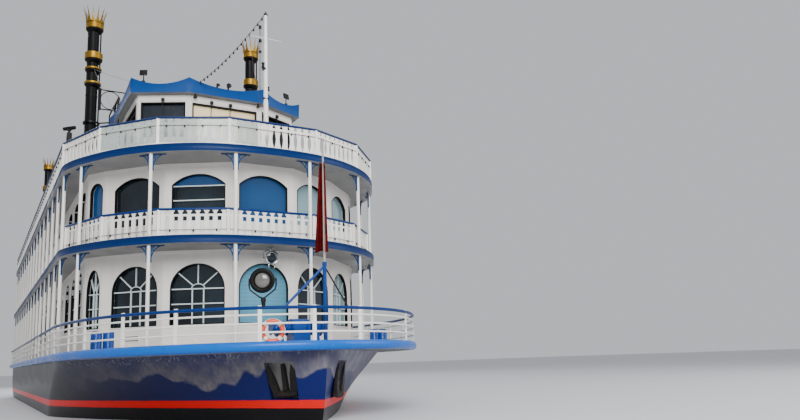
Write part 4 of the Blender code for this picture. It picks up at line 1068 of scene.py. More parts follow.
arm = together(
    fan_plate(inner_line, 0.008),
    tube(hollow, 0.010, 6),
    *(tube(np.array([inner_line[k], hollow[k]]), 0.007, 6) for k in (2, 4, 7)),
    block((0.026, -0.012, -DROP), (0.042, 0.012, 0.0)),
    block((0.026, -0.012, -0.016), (SHAFT_R + REACH, 0.012, 0.0)),
)
for name, floor, under in (("lower", MAIN_DECK, SECOND_UNDER), ("upper", SECOND_DECK, SUN_UNDER)):
    shafts = copies(column(under - floor), level(round_boat, floor), (0, 1, 0))
    piece(f"{name}_columns", shafts, white,
          replaces=[f"{name}_gallery_{side_name}" for side_name, _ in SIDES])
    at = level(round_boat, under - 0.0005)
    arms = []
    for way in (ahead, behind_way):
        out = np.column_stack([way[:, 1], -way[:, 0], np.zeros(len(way))])
        arms.append(copies(arm, at, out))
    piece(f"{name}_brackets", together(*arms), bracket_blue)
print("columns on each deck:", len(round_boat))

# %% [markdown]
# ## Windows
#
# The saloons' windows have arched heads. Each has a dark seal round the glass, a sill
# and, on the lower deck, pale glazing bars with a fan in the head. A solid wall keeps
# few points in its arches, so the front walls are made anew: on each facet four rings
# of points, the hole's edge and the facet's own edge at the face and at the back, are
# joined in a loop.

# %% Where the windows are
# Each deck's floor and the next one's underside, then the sill, spring and top of its front
# windows and of the others
DECKS = (("lower", MAIN_DECK, SECOND_UNDER, (0.41, 0.985, 1.39), (0.49, 1.13, 1.44)),
         ("upper", SECOND_DECK, SUN_UNDER, (0.33, 0.965, 1.14), (0.43, 1.02, 1.14)))
WALL, FIT = 0.07, 0.0003
# Where each facet's window starts and ends, as shares of the facet from starboard
WINDOW_SHARES = {-3: (0.13, 0.87), -2: (0.173, 0.907), -1: (0.109, 0.889), 0: (0.106, 0.904),
                 1: (0.111, 0.891), 2: (0.093, 0.827), 3: (0.13, 0.87)}


def arch(wide, sill, spring, top, flat=False, steps=20):
    """An opening's outline: two corners at the sill, then half an ellipse over the
    spring, or, where it is flat, the arc of the circle through the springs and the top."""
    rise = top - spring
    a = np.linspace(0, np.pi, steps + 1)
    head = np.column_stack([wide / 2 * np.cos(a), spring + rise * np.sin(a)])
    if flat:
        radius = (wide**2 / 4 + rise**2) / (2 * rise)
        a = np.linspace(1, -1, steps + 1) * np.arcsin(wide / 2 / radius)
        head = np.column_stack([radius * np.sin(a), top - radius * (1 - np.cos(a))])
    return np.vstack([[(-wide / 2, sill), (wide / 2, sill)], head])


# Each opening: its middle, the way out, its width, and its place, which is -3 to 3 round
# the bow, 9 or -9 on the sides and 20 aft
openings = []
middle = len(saloon_plan) // 2
for place, (start, end) in WINDOW_SHARES.items():
    a, b = saloon_plan[middle + place - 1], saloon_plan[middle + place]
    way = b - a
    openings.append((a + way * (start + end) / 2, (way[1], -way[0]),
                     np.linalg.norm(way) * (end - start), place))
bays = [x for x in np.arange(6.42, -6.30, -1.0) if abs(x - GATE_X) > 0.5]
for x in bays:
    openings += [((x, side * SALOON_HALF), (0, side), 0.60, 9 * side) for _, side in SIDES]
openings += [((SALOON_AFT, y), (-1, 0), 0.60, 20) for y in (-1.2, 0.0, 1.2)]


def opening_outline(deck, floor, front, other, wide, place, extra=0.0):
    """The outline of one window, at its height on the boat."""
    sill, spring, top = front if abs(place) < 4 else other
    return arch(wide + extra, floor + sill, floor + spring, floor + top,
                flat=deck == "upper" and abs(place) < 3)


def strip_on(at, out, x0, x1, z0, z1, near, far):
    """A straight bar on a wall between two points across and two heights."""
    points, quads, _ = block((x0, z0, near), (x1, z1, far))
    return shape(on_wall(points, at, out), quads)


def frame_line(wide, low, high, at, out):
    """The four corners of a window on a wall."""
    return on_wall([(-wide / 2, low, 0), (wide / 2, low, 0), (wide / 2, high, 0),
                    (-wide / 2, high, 0)], at, out)


def slanted(at, out, a, b, wide, near, far):
    """A straight bar on a wall between two points of (across, height)."""
    a, b = np.array(a), np.array(b)
    n = np.array([-(b - a)[1], (b - a)[0]]) / np.linalg.norm(b - a) * wide / 2
    return slab([a - n, b - n, b + n, a + n], near, far, at, out)


# %% Front walls
def facet_wall(a, b, back_a, back_b, low, high, hole, at, out):
    """One facet of a wall round its hole. The facet's own edge gets a point for each of
    the hole's, where the line from the hole's middle through it meets the edge, and the
    points nearest the corners move onto them."""
    across = unit(b - a)
    face = np.array([(a - at) @ across + FIT, (b - at) @ across - FIT])
    back = np.array([(back_a - at) @ across + FIT, (back_b - at) @ across - FIT])
    middle_at = np.array([0.0, (hole[0, 1] + hole[:, 1].max()) / 2])
    ray = hole - middle_at
    with np.errstate(divide="ignore"):
        sideways = np.where(ray[:, 0] > 0, face[1], face[0]) / ray[:, 0]
        upwards = (np.where(ray[:, 1] > 0, high, low) - middle_at[1]) / ray[:, 1]
    edge = middle_at + ray * np.minimum(np.abs(sideways), np.abs(upwards))[:, None]
    for corner in [(x, z) for x in face for z in (low, high)]:
        edge[np.argmax(unit(ray) @ unit(np.array(corner) - middle_at))] = corner
    behind = edge.copy()
    behind[:, 0] = np.interp(edge[:, 0], face, back)
    rings = [(hole, -WALL), (hole, 0.0), (edge, 0.0), (behind, -WALL)]
    return skin([on_wall(level(ring, depth), at, out) for ring, depth in rings], "loop")


# The front walls end where the side walls' solids start
SPLIT_X = 6.98
saloon_inner = inset(saloon_plan, WALL)
for deck, floor, under, front, other in DECKS:
    low, high = floor + FIT, under - FIT
    facets = []
    for at, out, wide, place in openings[:len(WINDOW_SHARES)]:
        i, j = middle + place - 1, middle + place
        facets.append(facet_wall(saloon_plan[i], saloon_plan[j], saloon_inner[i],
                                 saloon_inner[j], low, high,
                                 opening_outline(deck, floor, front, other, wide, place), at,
                                 np.array(out)))
    for side, corner in ((-1, 1), (1, -2)):
        end = np.array([saloon_plan[corner], (SPLIT_X, side * SALOON_HALF),
                        (SPLIT_X, side * (SALOON_HALF - WALL)), saloon_inner[corner]])
        facets.append(skin([level(end, z) for z in (low, high)]))
    piece(f"{deck}_front_facets", together(*facets), wall_white,
          replaces=f"{deck}_front_wall")

# %% Seals, sills and glazing bars
seals, sills, bars = [], [], []
SEAL = np.array([(-0.010, -0.050), (0.006, -0.050), (0.006, 0.004), (-0.010, 0.004)])
BAR, BAR_BACK, BAR_FACE = 0.009, -0.058, -0.034
for deck, floor, _, front, other in DECKS:
    for at, out, wide, place in openings:
        outline = opening_outline(deck, floor, front, other, wide, place)
        seals.append(moulding(on_wall(level(outline, 0), at, out), SEAL, (*out, 0)))
        sill, spring, top = (floor + up for up in (front if abs(place) < 4 else other))
        sills.append(strip_on(at, out, -wide / 2 - 0.02, wide / 2 + 0.02, sill - 0.028,
                              sill - 0.012, -0.02, 0.014))
        rise, half_wide = top - spring, wide / 2
        levels, uprights = [], []
        if deck == "lower" and place != 0:
            levels, uprights = [spring, spring - 0.243], [-0.105 * wide, 0.105 * wide]
            hub = np.linspace(0, np.pi, 10)
            hub = np.column_stack([wide * 0.125 * np.cos(hub), spring + rise * 0.2 * np.sin(hub)])
            bars.append(tube(on_wall(level(hub, -0.045), at, out), BAR, 6))
            bars.append(strip_on(at, out, -BAR, BAR, spring + rise * 0.2, top, BAR_BACK, BAR_FACE))
            bars += [slanted(at, out, (s * wide * 0.095, spring + rise * 0.14),
                             (s * wide * 0.375, spring + rise * 0.67), 0.017, BAR_BACK, BAR_FACE)
                     for s in (-1, 1)]
        if deck == "upper" and place == -1:
            levels = [floor + 0.95, floor + 0.708]
        for z in levels:
            bars.append(strip_on(at, out, -half_wide, half_wide, z - BAR, z + BAR, BAR_BACK,
                                 BAR_FACE))
        for x in uprights:
            bars.append(strip_on(at, out, x - BAR, x + BAR, sill, spring, BAR_BACK, BAR_FACE))
piece("window_seals", together(*seals), rubber)
piece("window_sills", together(*sills), wall_white)
piece("window_bars", together(*bars), bar_grey)

# %% [markdown]
# ## Panes and blinds
#
# Each window shows dark glass, and some have a coloured blind pulled down behind it, or
# pale glass whose colour is a painted reflection. A pane is a thin plate of the opening's own
# outline, just before the dark glazing.

# %% Panes by what shows in them
panels = {"dark": [], "teal": [], "blue": [], "glare": []}
for deck, floor, _, front, other in DECKS:
    for at, out, wide, place in openings:
        outline = opening_outline(deck, floor, front, other, wide, place, 0.01)
        kind = "dark" if abs(place) < 4 else None
        if deck == "upper":
            kind = {-3: "blue", 0: "blue", 1: "glare", 2: "glare", 3: "glare",
                    9: "glare"}.get(place, kind)
        else:
            kind = {0: "teal", 2: "glare"}.get(place, kind)
        if kind:
            panels[kind].append(slab(outline, -0.0695, -0.065, at, out))
        if deck == "upper" and place == -1:
            # A blue blind hangs in the arch only
            outline[:2, 1] = floor + front[1] - 0.015
            panels["blue"].append(slab(outline, -0.0645, -0.062, at, out))
for name, finish in (("dark", dark_glass), ("teal", teal_blind), ("blue", blue_blind),
                     ("glare", glare_glass)):
    piece(f"{name}_panes", together(*panels[name]), finish)

# %% [markdown]
# ## Trim on the walls
#
# The saloons' facets meet at pilasters. Louvres, round vents and a plinth break up the
# wall under the windows. They are thin plates on the wall's face. The louvre's slots are
# dark strips before it, painted shade for its gaps.

# %% Pilasters, plinth, louvres and vents
trim, vents = [], []
for _, floor, under, *_ in DECKS:
    high = under - 0.001
    for i in range(1, len(saloon_plan) - 1):
        for a, b in ((saloon_plan[i], saloon_plan[i - 1]), (saloon_plan[i], saloon_plan[i + 1])):
            way = unit(b - a)
            out = np.array([way[1], -way[0]]) * np.sign(way[1] * a[0] - way[0] * a[1])
            trim.append(strip_on(a + way * 0.024, out, -0.022, 0.022, floor + 0.09, high - 0.04,
                                 -0.01, 0.006))
    trim.append(moulding(level(saloon_plan, floor + 0.0005), [(-0.01, 0.0), (0.012, 0.0),
                                                             (0.012, 0.07), (-0.01, 0.085)]))
    trim.append(moulding(level(saloon_plan, high - 0.05), [(-0.01, 0.0), (0.008, 0.0),
                                                          (0.014, 0.049), (-0.01, 0.049)]))
facet_at = {o[3]: (o[0], o[1]) for o in openings}
for up, tall in ((0.333, 0.010), (0.308, 0.010), (0.163, 0.107)):
    vents.append(strip_on(*facet_at[-2], -0.152, 0.117, MAIN_DECK + up, MAIN_DECK + up + tall,
                          -0.005, 0.006))
# The louvre's three dark strips are painted shade in its gaps
slots = [strip_on(*facet_at[-2], -0.140, 0.105, MAIN_DECK + up, MAIN_DECK + up + 0.014, 0.004,
                  0.009) for up in (0.178, 0.209, 0.240)]
for place, across, up in ((-2, 0.21, 0.223), (-2, 0.537, 0.21), (-1, -0.023, 0.142),
                          (1, -0.2, 0.20)):
    at, out = facet_at[place]
    spot = on_wall([(across, MAIN_DECK + up, 0.0)], at, out)[0]
    vents.append(turned([(0.032, -0.004), (0.034, 0.008), (0.022, 0.014),
                         (0.020, 0.006)], 14, spot, (*out, 0)))
piece("saloon_trim", together(*trim), wall_white)
piece("wall_vents", together(*vents), white)
piece("wall_vent_slot_shade", together(*slots), iron)

# %% Doors: a pane, its seal and a handle on each leaf
# Each door: its floor, the foot and head of its pane over it, its middle's place, and how
# far across its handle is
for name, low, sill_up, head_up, x, y, grip_x in (
    ("lower_door", MAIN_DECK, 0.62, 1.22, GATE_X, 2.512, -0.19),
    ("upper_door", SECOND_DECK, 0.55, 1.06, GATE_X, 2.512, -0.19),
    ("wheelhouse_door", SUN_DECK, 0.80, 1.45, 4.25, 1.592, 0.18),
):
    for side_name, side in SIDES:
        at, out, body = (x, side * y), (0, side), f"{name}_{side_name}_body"
        pane_form = strip_on(at, out, -0.15, 0.15, low + sill_up, low + head_up, -0.002, 0.002)
        piece(f"{name}_pane_{side_name}", pane_form, dark_glass, body=body)
        ring = moulding(frame_line(0.31, low + sill_up, low + head_up, at, out),
                        [(-0.008, -0.001), (0.012, -0.001), (0.012, 0.004), (-0.008, 0.004)],
                        (*out, 0))
        grip = turned([(0.012, -0.002), (0.012, 0.003)], 10,
                      on_wall([(grip_x * side, low + 0.72, 0)], at, out)[0], (0, side, 0))
        piece(f"{name}_trim_{side_name}", together(ring, grip), steel, body=body)

# %% [markdown]
# ## Wheelhouse
#
# The wheelhouse has large square windows in dark seals, and a roof whose deep blue edge
# hangs between its corners like a cloth. A straight edge would make it a plain box, so
# the edge's height is a parabola along each side: highest at the corners, lowest midway.

# %% Roof with its hanging edge
ROOF_EDGE, ROOF_TIP, ROOF_THICK = 0.18, 0.13, 0.11
roof_plan = inset(house_plan, -0.15)
ROOF_STEPS = 16


def split(outline, steps=ROOF_STEPS):
    """Each side of an outline cut into equal steps."""
    share = (np.arange(steps) / steps)[None, :, None]
    after = np.roll(outline, -1, 0)
    return (outline[:, None] * (1 - share) + after[:, None] * share).reshape(-1, 2)


corner_share = np.abs(2 * np.tile(np.arange(ROOF_STEPS) / ROOF_STEPS, len(roof_plan)) - 1)
edge_high = ROOF_UNDER + ROOF_EDGE + ROOF_TIP * corner_share**2


def roof_ring(back, z):
    """The split roof outline moved inwards, at one height or at a list of them."""
    points = split(inset(roof_plan, back))
    return np.column_stack([points, np.broadcast_to(z, len(points))])


roof_finish = by_facing("wheelhouse roof paint", (84, 98, 120), (4, 66, 132), (150, 150, 150))
roof_rings = [roof_ring(back, ROOF_UNDER + up) for back, up in (
    (0.10, 0.0), (0.012, 0.0), (0.003, 0.006), (0.003, 0.018), (0.010, 0.022))]
roof_rings += [roof_ring(back, edge_high - down) for back, down in (
    (0.004, 0.022), (0.0, 0.016), (0.0, 0.004), (0.006, 0.0), (0.040, 0.0), (0.050, 0.008))]
roof_rings.append(roof_ring(0.075, ROOF_UNDER + ROOF_THICK))
piece("wheelhouse_roof_shell", skin(roof_rings), roof_finish, smooth=40,
      replaces="wheelhouse_roof")

# %% Windows of the wheelhouse
HOUSE_SILL, HOUSE_HEAD = SUN_DECK + 0.93, SUN_DECK + 1.63
house_half = len(house_plan) // 2
# The wheelhouse's places are -1 to 1 in front, 5 or -5 on the sides and 9 aft
house_windows = []
for i in range(house_half - 2, house_half + 1):
    a, b = house_plan[i], house_plan[i + 1]
    way = b - a
    house_windows.append(((a + b) / 2, (way[1], -way[0]), np.linalg.norm(way) - 0.14,
                          i - house_half + 1))
for _, side in SIDES:
    house_windows.append(((5.475, side * HOUSE_HALF), (0, side), 1.17, 5 * side))
house_windows.append(((HOUSE_AFT, 0.0), (-1, 0), 2.20, 9))
house_seals, house_trim, wipers = [], [], []
for at, out, wide, place in house_windows:
    corners = frame_line(wide, HOUSE_SILL, HOUSE_HEAD, at, out)
    house_seals.append(moulding(corners, [(-0.022, -0.045), (0.004, -0.045), (0.004, 0.006),
                                          (-0.004, 0.012), (-0.022, 0.004)], (*out, 0)))
    house_trim.append(strip_on(at, out, -wide / 2 - 0.03, wide / 2 + 0.03, HOUSE_HEAD + 0.03,
                               ROOF_UNDER - 0.004, -0.01, 0.012))
    house_trim.append(strip_on(at, out, -wide / 2 - 0.02, wide / 2 + 0.02, HOUSE_SILL - 0.030,
                               HOUSE_SILL - 0.012, -0.01, 0.020))
    if abs(place) < 2:
        # A wiper hangs from its motor over the window's head
        for across in ((-0.28, 0.10) if place == 0 else (0.0,)):
            foot = HOUSE_HEAD + 0.045
            wipers.append(strip_on(at, out, across - 0.03, across + 0.03, foot - 0.03,
                                   foot + 0.03, 0.010, 0.05))
            wipers.append(slanted(at, out, (across, foot), (across - 0.03, HOUSE_SILL + 0.22),
                                  0.012, 0.026, 0.036))
            wipers.append(slanted(at, out, (across - 0.05, HOUSE_SILL + 0.42),
                                  (across - 0.02, HOUSE_SILL + 0.08), 0.016, 0.010, 0.026))
piece("wheelhouse_window_seals", together(*house_seals), rubber)
piece("wheelhouse_window_trim", together(*house_trim), wall_white)
piece("wheelhouse_wipers", together(*wipers), iron)
for (at, out, wide, _), (name, finish) in zip(house_windows, (("grey", grey_blind),
                                                              ("cream", cream_blind))):
    blind = [(-wide / 2, HOUSE_SILL), (wide / 2, HOUSE_SILL), (wide / 2, HOUSE_HEAD - 0.02),
             (-wide / 2, HOUSE_HEAD - 0.02)]
    piece(f"wheelhouse_{name}_blind", slab(blind, -0.069, -0.064, at, out), finish)

# %% Roof lamps, horns, a bell and lights under the edge


def lamp_box(low_corner, high_corner, share):
    """A flat floodlight on a short post, on the roof's edge this share of the way from
    one corner of its plan to another: a case with sloped sides, tilted down a little."""
    a, b = roof_plan[low_corner], roof_plan[high_corner]
    way = unit(b - a)
    out = np.array([way[1], -way[0], 0.0]) * (1 if low_corner < high_corner else -1)
    foot = ROOF_UNDER + ROOF_EDGE + ROOF_TIP * (2 * share - 1) ** 2 - 0.001
    case = np.array([(-0.075, 0.030, 0.125), (0.075, 0.030, 0.125), (0.075, 0.010, 0.245),
                     (-0.075, 0.010, 0.245)])
    rear = case * (0.75, 1, 1) - (0, 0.045, 0) + np.outer((1, 1, -1, -1), (0, 0, 0.012))
    form = together(
        turned([(0.035, 0.0), (0.035, 0.022), (0.012, 0.028), (0.010, 0.13)], 12),
        skin([rear, case]),
    )
    at = np.array([*(a + share * (b - a)), foot]) - out * 0.022
    return copies(form, [at], [out])


roof_top_z = ROOF_UNDER + ROOF_THICK
horn = turned([(0.014, -0.05), (0.016, 0.01), (0.024, 0.04), (0.042, 0.06), (0.038, 0.062),
               (0.0, 0.045)], 14, (0, 0, 0.062), (0, 1, 0))
horn = together(horn, block((-0.012, -0.012, 0.0), (0.012, 0.012, 0.06)))
HORNS_Z = ROOF_UNDER + ROOF_EDGE - 0.001
roof_gear = [
    lamp_box(1, 2, 0.21),
    lamp_box(3, 4, 0.63),
    copies(horn, [(6.775, -0.20, HORNS_Z), (6.775, 0.02, HORNS_Z)], (1, 0, 0),
           size=[(1, 1, 0.8), (1.3, 1, 1.2)]),
    turned([(0.010, 0.0), (0.010, 0.055), (0.020, 0.075), (0.045, 0.085), (0.052, 0.16),
            (0.064, 0.175), (0.058, 0.18), (0.0, 0.178)], 16,
           (4.62, -1.70, ROOF_UNDER + 0.001), (0, 0, -1)),
    *(turned([(0.016, 0.0), (0.020, 0.03), (0.038, 0.05), (0.038, 0.075), (0.0, 0.078)], 12,
             (6.73, y, ROOF_UNDER + 0.001), (0, 0, -1)) for y in (-0.62, 0.66)),
]
piece("roof_lamps_and_horns", together(*roof_gear), iron)

# %% [markdown]
# ## Stacks
#
# Each stack is a slim black tube with a thin pipe beside it. Gilded bands and rings hold
# the two together, and a crown of long thin points tops it. The tube and bands are turned
# profiles. A cone with teeth would look heavy, so each point is its own tapered bar that
# bends outwards.

# %% Four stacks
# Each pair: its place along and across, its size against the front pair's, its top and its
# crown's height. Bands and rings are given as (foot, head) down from the top.
STACKS = (
    ("front", 2.40, 1.97, 1.0, 9.86, 0.38,
     ((0.155, -0.012), (0.94, 0.77)), ((1.205, 1.145), (1.575, 1.51))),
    ("rear", -5.20, 2.30, 0.75, 8.15, 0.28,
     ((0.155 * 0.75, -0.012 * 0.75), (0.80, 0.66)), ((1.02, 0.975), (1.34, 1.295))),
)
PIPE_WAY = np.array([0.51, 0.86])


def band(low, high, r, edge=0.010):
    """A band with softened edges, between two heights."""
    return turned([(r - edge, low), (r, low + edge), (r, high - edge), (r - edge, high)], 40)


def flange(low, high, r_low, r_high):
    """A black cup under a gilded band: narrow below and as wide as the band above."""
    steps = np.linspace(0, 1, 6)
    wide = r_low + (r_high - r_low) * np.sin(steps * np.pi / 2)
    return turned(np.column_stack([wide, low + (high - low) * steps]), 40)


for name, x, y, s, top, crown, *downs in STACKS:
    bands, rings = ([(top - foot, top - head) for foot, head in pairs] for pairs in downs)
    tube_r, band_r = 0.132 * s, 0.205 * s
    # One point of the crown: a bar that bends outwards as it rises, and thins to its tip
    rise = np.linspace(0, 1, 7)
    spine = np.column_stack([0 * rise, 0.195 * s + 0.082 * s * rise**1.9,
                             top + 0.010 * s + (crown - 0.02) * rise * 0.985])
    spike_wide = np.interp(rise, [0, 0.18, 0.4, 1.0], [0.0505, 0.026, 0.015, 0.0015]) * s
    spike = barred(spine, spike_wide, np.interp(rise, [0, 1.0], [0.010, 0.003]) * s,
                   (1, 0, 0), (0, 1, 0))
    turn = turn_steps(12, 0.35)
    outward = np.column_stack([np.cos(turn), np.sin(turn), 0 * turn])
    crown_form = together(
        copies(spike, np.zeros((12, 3)), outward),
        turned([(0.150 * s, top - 0.03), (band_r, top - 0.03), (band_r, top + 0.030 * s),
                (0.186 * s, top + 0.030 * s), (0.17 * s, top - 0.01), (0.150 * s, top - 0.01)],
               40),
    )
    gilded = [band(low, high, band_r) for low, high in bands]
    gilded += [band(low, high, 0.193 * s, 0.014) for low, high in rings] + [crown_form]
    dark = [flange(low - 0.085 * s, low + 0.001, tube_r * 1.05, band_r * 0.98) for low, _ in bands]
    dark += [flange(low - 0.07 * s, low + 0.001, tube_r * 1.1, 0.186 * s) for low, _ in rings]
    shaft = turned([(tube_r * 1.5, SUN_DECK + 0.001), (tube_r * 1.5, SUN_DECK + 0.02),
                    (tube_r * 1.12, SUN_DECK + 0.03),
                    (tube_r, SUN_DECK + 0.05), (tube_r, top - 0.04), (tube_r * 1.02, top - 0.02),
                    (tube_r * 0.8, top - 0.02), (tube_r * 0.8, top - 0.2)], 40)
    seams = [turned([(tube_r + 0.004, z), (tube_r + 0.004, z + 0.03)], 40)
             for z in np.arange(SUN_DECK + 1.0, bands[1][0] - 0.8, 1.0)]
    dark.append(moved(together(shaft, *seams), (*(-0.022 * s * PIPE_WAY), 0)))
    pipe = [(*(0.158 * s * PIPE_WAY), z) for z in (SUN_DECK + 0.001, SUN_DECK + 1.2,
                                                   bands[1][0], bands[0][0])]
    dark.append(tube(pipe, 0.017 * s, 8))
    knuckle = np.array([(-0.10, -0.13, 1.25), (-0.15, -0.17, 1.27), (-0.185, -0.20, 1.32),
                        (-0.19, -0.205, 1.40)]) * (s, s, 1) + (0, 0, SUN_DECK)
    dark.append(tube(knuckle, [0.030, 0.030, 0.036, 0.042], 8))
    for side_name, side in SIDES:
        stand = np.array([x, side * y, 0.0])
        piece(f"stack_tube_{name}_{side_name}", moved(together(*dark), stand), black,
              smooth=40, replaces=f"stack_{name}_{side_name}")
        piece(f"stack_gilding_{name}_{side_name}", moved(together(*gilded), stand), gold,
              smooth=40)

# %% Stays from the front stacks to the wheelhouse
stays = []
for _, side in SIDES:
    high_end = np.array([2.50, side * 1.97, 8.66])
    roof_corner = roof_plan[house_half - 2 if side < 0 else house_half + 1]
    for end in (np.array([*roof_corner * (0.985, 0.98), ROOF_UNDER + 0.26]),
                np.array([4.2, side * 1.66, ROOF_UNDER + 0.14])):
        stays.append(tube([high_end, (high_end + end) / 2 - (0, 0, 0.02), end], 0.005, 6))
piece("stack_stays", together(*stays), grey)

# %% Spreader between the front stacks
# Two bars run from stack to stack, with a round hoop between them near each end
SPREAD_X, SPREAD_LOW, SPREAD_HIGH, SPREAD_Y, HOOP_Y = 2.42, 7.71, 8.20, 1.80, 1.56
SPREAD_END = SPREAD_Y + 0.03
spreader = [tube([(SPREAD_X, y, z) for y in (-SPREAD_END, 0, SPREAD_END)], 0.014, 8)
            for z in (SPREAD_LOW, SPREAD_HIGH)]
hoop_r = (SPREAD_HIGH - SPREAD_LOW) / 2 - 0.02
for _, side in SIDES:
    spreader.append(block((SPREAD_X - 0.02, side * SPREAD_Y - 0.028, SPREAD_LOW - 0.03),
                          (SPREAD_X + 0.02, side * SPREAD_Y + 0.028, SPREAD_HIGH + 0.03)))
    spreader.append(hoop((SPREAD_X, side * HOOP_Y, (SPREAD_LOW + SPREAD_HIGH) / 2),
                         (0, hoop_r, 0), (0, 0, hoop_r), 0.010, turn_steps(32)))
piece("stack_spreader", together(*spreader), black)

# %% [markdown]
# ## Masts, staffs and the string of lamps
#
# A tapered white mast stands at the front of the top deck. A string of dark lamps runs
# from its head to the wheelhouse roof, with a little sag. A straight line would do for
# the wire, but the small sag is what makes it look like one.

# %% Mast
MAST = np.array([9.00, 0.0, 0.0])
mast_form = together(
    turned([(0.10, SUN_DECK + 0.001), (0.10, SUN_DECK + 0.045),
            (0.055, SUN_DECK + 0.055), (0.046, SUN_DECK + 0.10), (0.040, 5.90), (0.040, 5.93),
            (0.036, 5.94), (0.028, 7.10), (0.024, 7.53)], 20, MAST),
    tube([MAST + (0, y, z) for y, z in ((-0.30, 7.10), (0, 7.11), (0.30, 7.10))],
         [0.003, 0.007, 0.003], 8),
)
piece("mast_pole", mast_form, white, replaces="mast")
fittings = together(
    turned([(0.034, 7.53), (0.034, 7.56), (0.012, 7.575), (0.010, 7.60)], 14, MAST),
    turned([(0.030, 0.0), (0.034, 0.012), (0.026, 0.02), (0.026, 0.075),
            (0.034, 0.083), (0.030, 0.095)], 14, MAST + (0, -0.045, 6.55)),
    turned([(0.024, 0.0), (0.026, 0.01), (0.020, 0.02), (0.020, 0.06), (0.026, 0.07),
            (0.0, 0.08)], 12, MAST + (0, 0.045, 6.15)),
    *(block(MAST + (-half_x, *low), MAST + (half_x, *high)) for half_x, low, high in (
        (0.04, (-0.055, 6.52), (-0.01, 6.55)), (0.035, (-0.05, 5.99), (0.05, 6.01)),
        (0.01, (-0.07, 5.60), (-0.05, 5.75)), (0.01, (-0.06, 5.66), (-0.03, 5.69)))),
)
piece("mast_fittings", fittings, iron)
halyard = [MAST + (0, y, z) for y, z in ((-0.29, 7.09), (-0.20, 6.4), (-0.062, 5.70))]
piece("mast_halyard", tube(halyard, 0.004, 6), brown_wire)

# %% String of lamps from the mast to the roof
string_from = MAST + (0, -0.02, 7.54)
string_to = np.array([6.79, -0.56, ROOF_UNDER + 0.235])
t = np.linspace(0, 1, 41)[:, None]
string = string_from + t * (string_to - string_from) - 0.40 * t * (1 - t) * np.array([0, 0, 1])
bulb_t = (np.arange(17) + 0.6) / 17
bulb_at = np.column_stack([np.interp(bulb_t, t[:, 0], string[:, k]) for k in range(3)])
piece("mast_string", tube(string, 0.0055, 6), brown_wire)
piece("mast_string_lamps", copies(moved(bulb, size=(1.35, 1.35, 1.5)), bulb_at, (0, 1, 0)),
      dark_lamp)

# %% Radar mast, and a slim pole on the wheelhouse
RADAR = np.array([-0.70, -2.15, 0.0])
radar_form = turned([(0.20, SUN_DECK + 0.001), (0.20, SUN_DECK + 0.03),
                     (0.145, SUN_DECK + 0.04), (0.135, SUN_DECK + 0.10), (0.06, 7.45),
                     (0.035, 7.72)], 24, RADAR)
piece("radar_mast_cone", radar_form, white, replaces="radar_mast")
radar_head = together(
    tapered([(*RADAR[:2], z) for z in (7.71, 7.73, 7.97, 7.99)],
            [0.06, 0.068, 0.068, 0.05], [0.06, 0.068, 0.068, 0.05]),
    turned([(0.03, 7.98), (0.03, 8.06)], 12, RADAR),
)
piece("radar_head", radar_head, iron, bevel=0.004)
bar_form = together(
    tube([RADAR + (d, d, 8.12) for d in (-0.13, 0, 0.13)], [0.050, 0.058, 0.050], 12),
    block(RADAR + (-0.05, -0.05, 8.05), RADAR + (0.05, 0.05, 8.09)),
)
piece("radar_bar", bar_form, iron, bevel=0.003)
POLE = np.array([6.60, 0.75, 0.0])
pole_form = turned([(0.05, roof_top_z - 0.002), (0.05, roof_top_z + 0.02),
                    (0.022, roof_top_z + 0.03), (0.016, 8.50)], 12, POLE)
piece("wheelhouse_pole", pole_form, grey)
pole_lamps = together(*(turned([(wide, 0.0), (wide, tall), (wide * 0.6, tall + 0.01)], 12,
                               POLE + (0, 0, z))
                        for z, wide, tall in ((8.49, 0.030, 0.07), (8.19, 0.034, 0.06),
                                              (7.95, 0.030, 0.05))))
piece("wheelhouse_pole_lamps", pole_lamps, iron)

# %% Jackstaff with its struts, and the stern staff
JACK_X = 11.30
jack = turned([(0.055, 1.7705), (0.055, 1.79), (0.028, 1.80), (0.026, 2.80),
               (0.030, 2.81), (0.030, 2.86), (0.014, 2.87)], 16, (JACK_X, 0, 0))
strut_foot = np.array([bow_x(main_line, 0.57), -0.57, 2.27])
starboard_strut = [(JACK_X, 0, 2.80), (JACK_X - 0.006, -0.02, 2.79),
                   strut_foot + (0.01, 0.07, 0.07), strut_foot]
port_strut = [(JACK_X, 0, 2.79), (JACK_X, 0.02, 2.77), (bow_x(main_line, 0.28), 0.28, 2.25)]
piece("jackstaff_post", together(jack, tube(starboard_strut, 0.018, 10)), jack_blue,
      replaces="jackstaff")
piece("jackstaff_port_strut", tube(port_strut, 0.011, 8), iron)
piece("jackstaff_pole", turned([(0.0165, 2.80), (0.013, 4.57), (0.022, 4.585),
                                (0.026, 4.605), (0.018, 4.625), (0.0, 4.63)], 12,
                               (JACK_X, 0, 0)), staff_grey)
piece("stern_staff_pole",
      turned([(0.065, SUN_DECK + 0.001), (0.065, SUN_DECK + 0.05),
              (0.028, SUN_DECK + 0.06), (0.024, SUN_DECK + 0.3), (0.013, 6.83), (0.024, 6.845),
              (0.026, 6.865), (0.015, 6.885), (0.0, 6.89)], 14, (-7.90, 0, 0)), white,
      replaces="stern_staff")

# %% [markdown]
# ## Furled flag
#
# A plain dark red flag hangs in folds down the jackstaff. A flat sheet on a stick would
# look like card. Its cross-section is a pleated line instead: it swings in and out around
# the staff as a star does, and the swings grow towards the hem, where it hangs loose.

# %% Flag cloth
rows, columns = 36, 97
down = np.linspace(0, 1, rows)[:, None]
along = np.linspace(0, 1, columns)[None]
FLAG_TOP, FLAG_HIGH = 4.27, 1.24
spread = 0.030 + 0.055 * down**0.8
swing = np.cos(2 * np.pi * 5.0 * along + 0.8 * np.sin(3.0 * down))
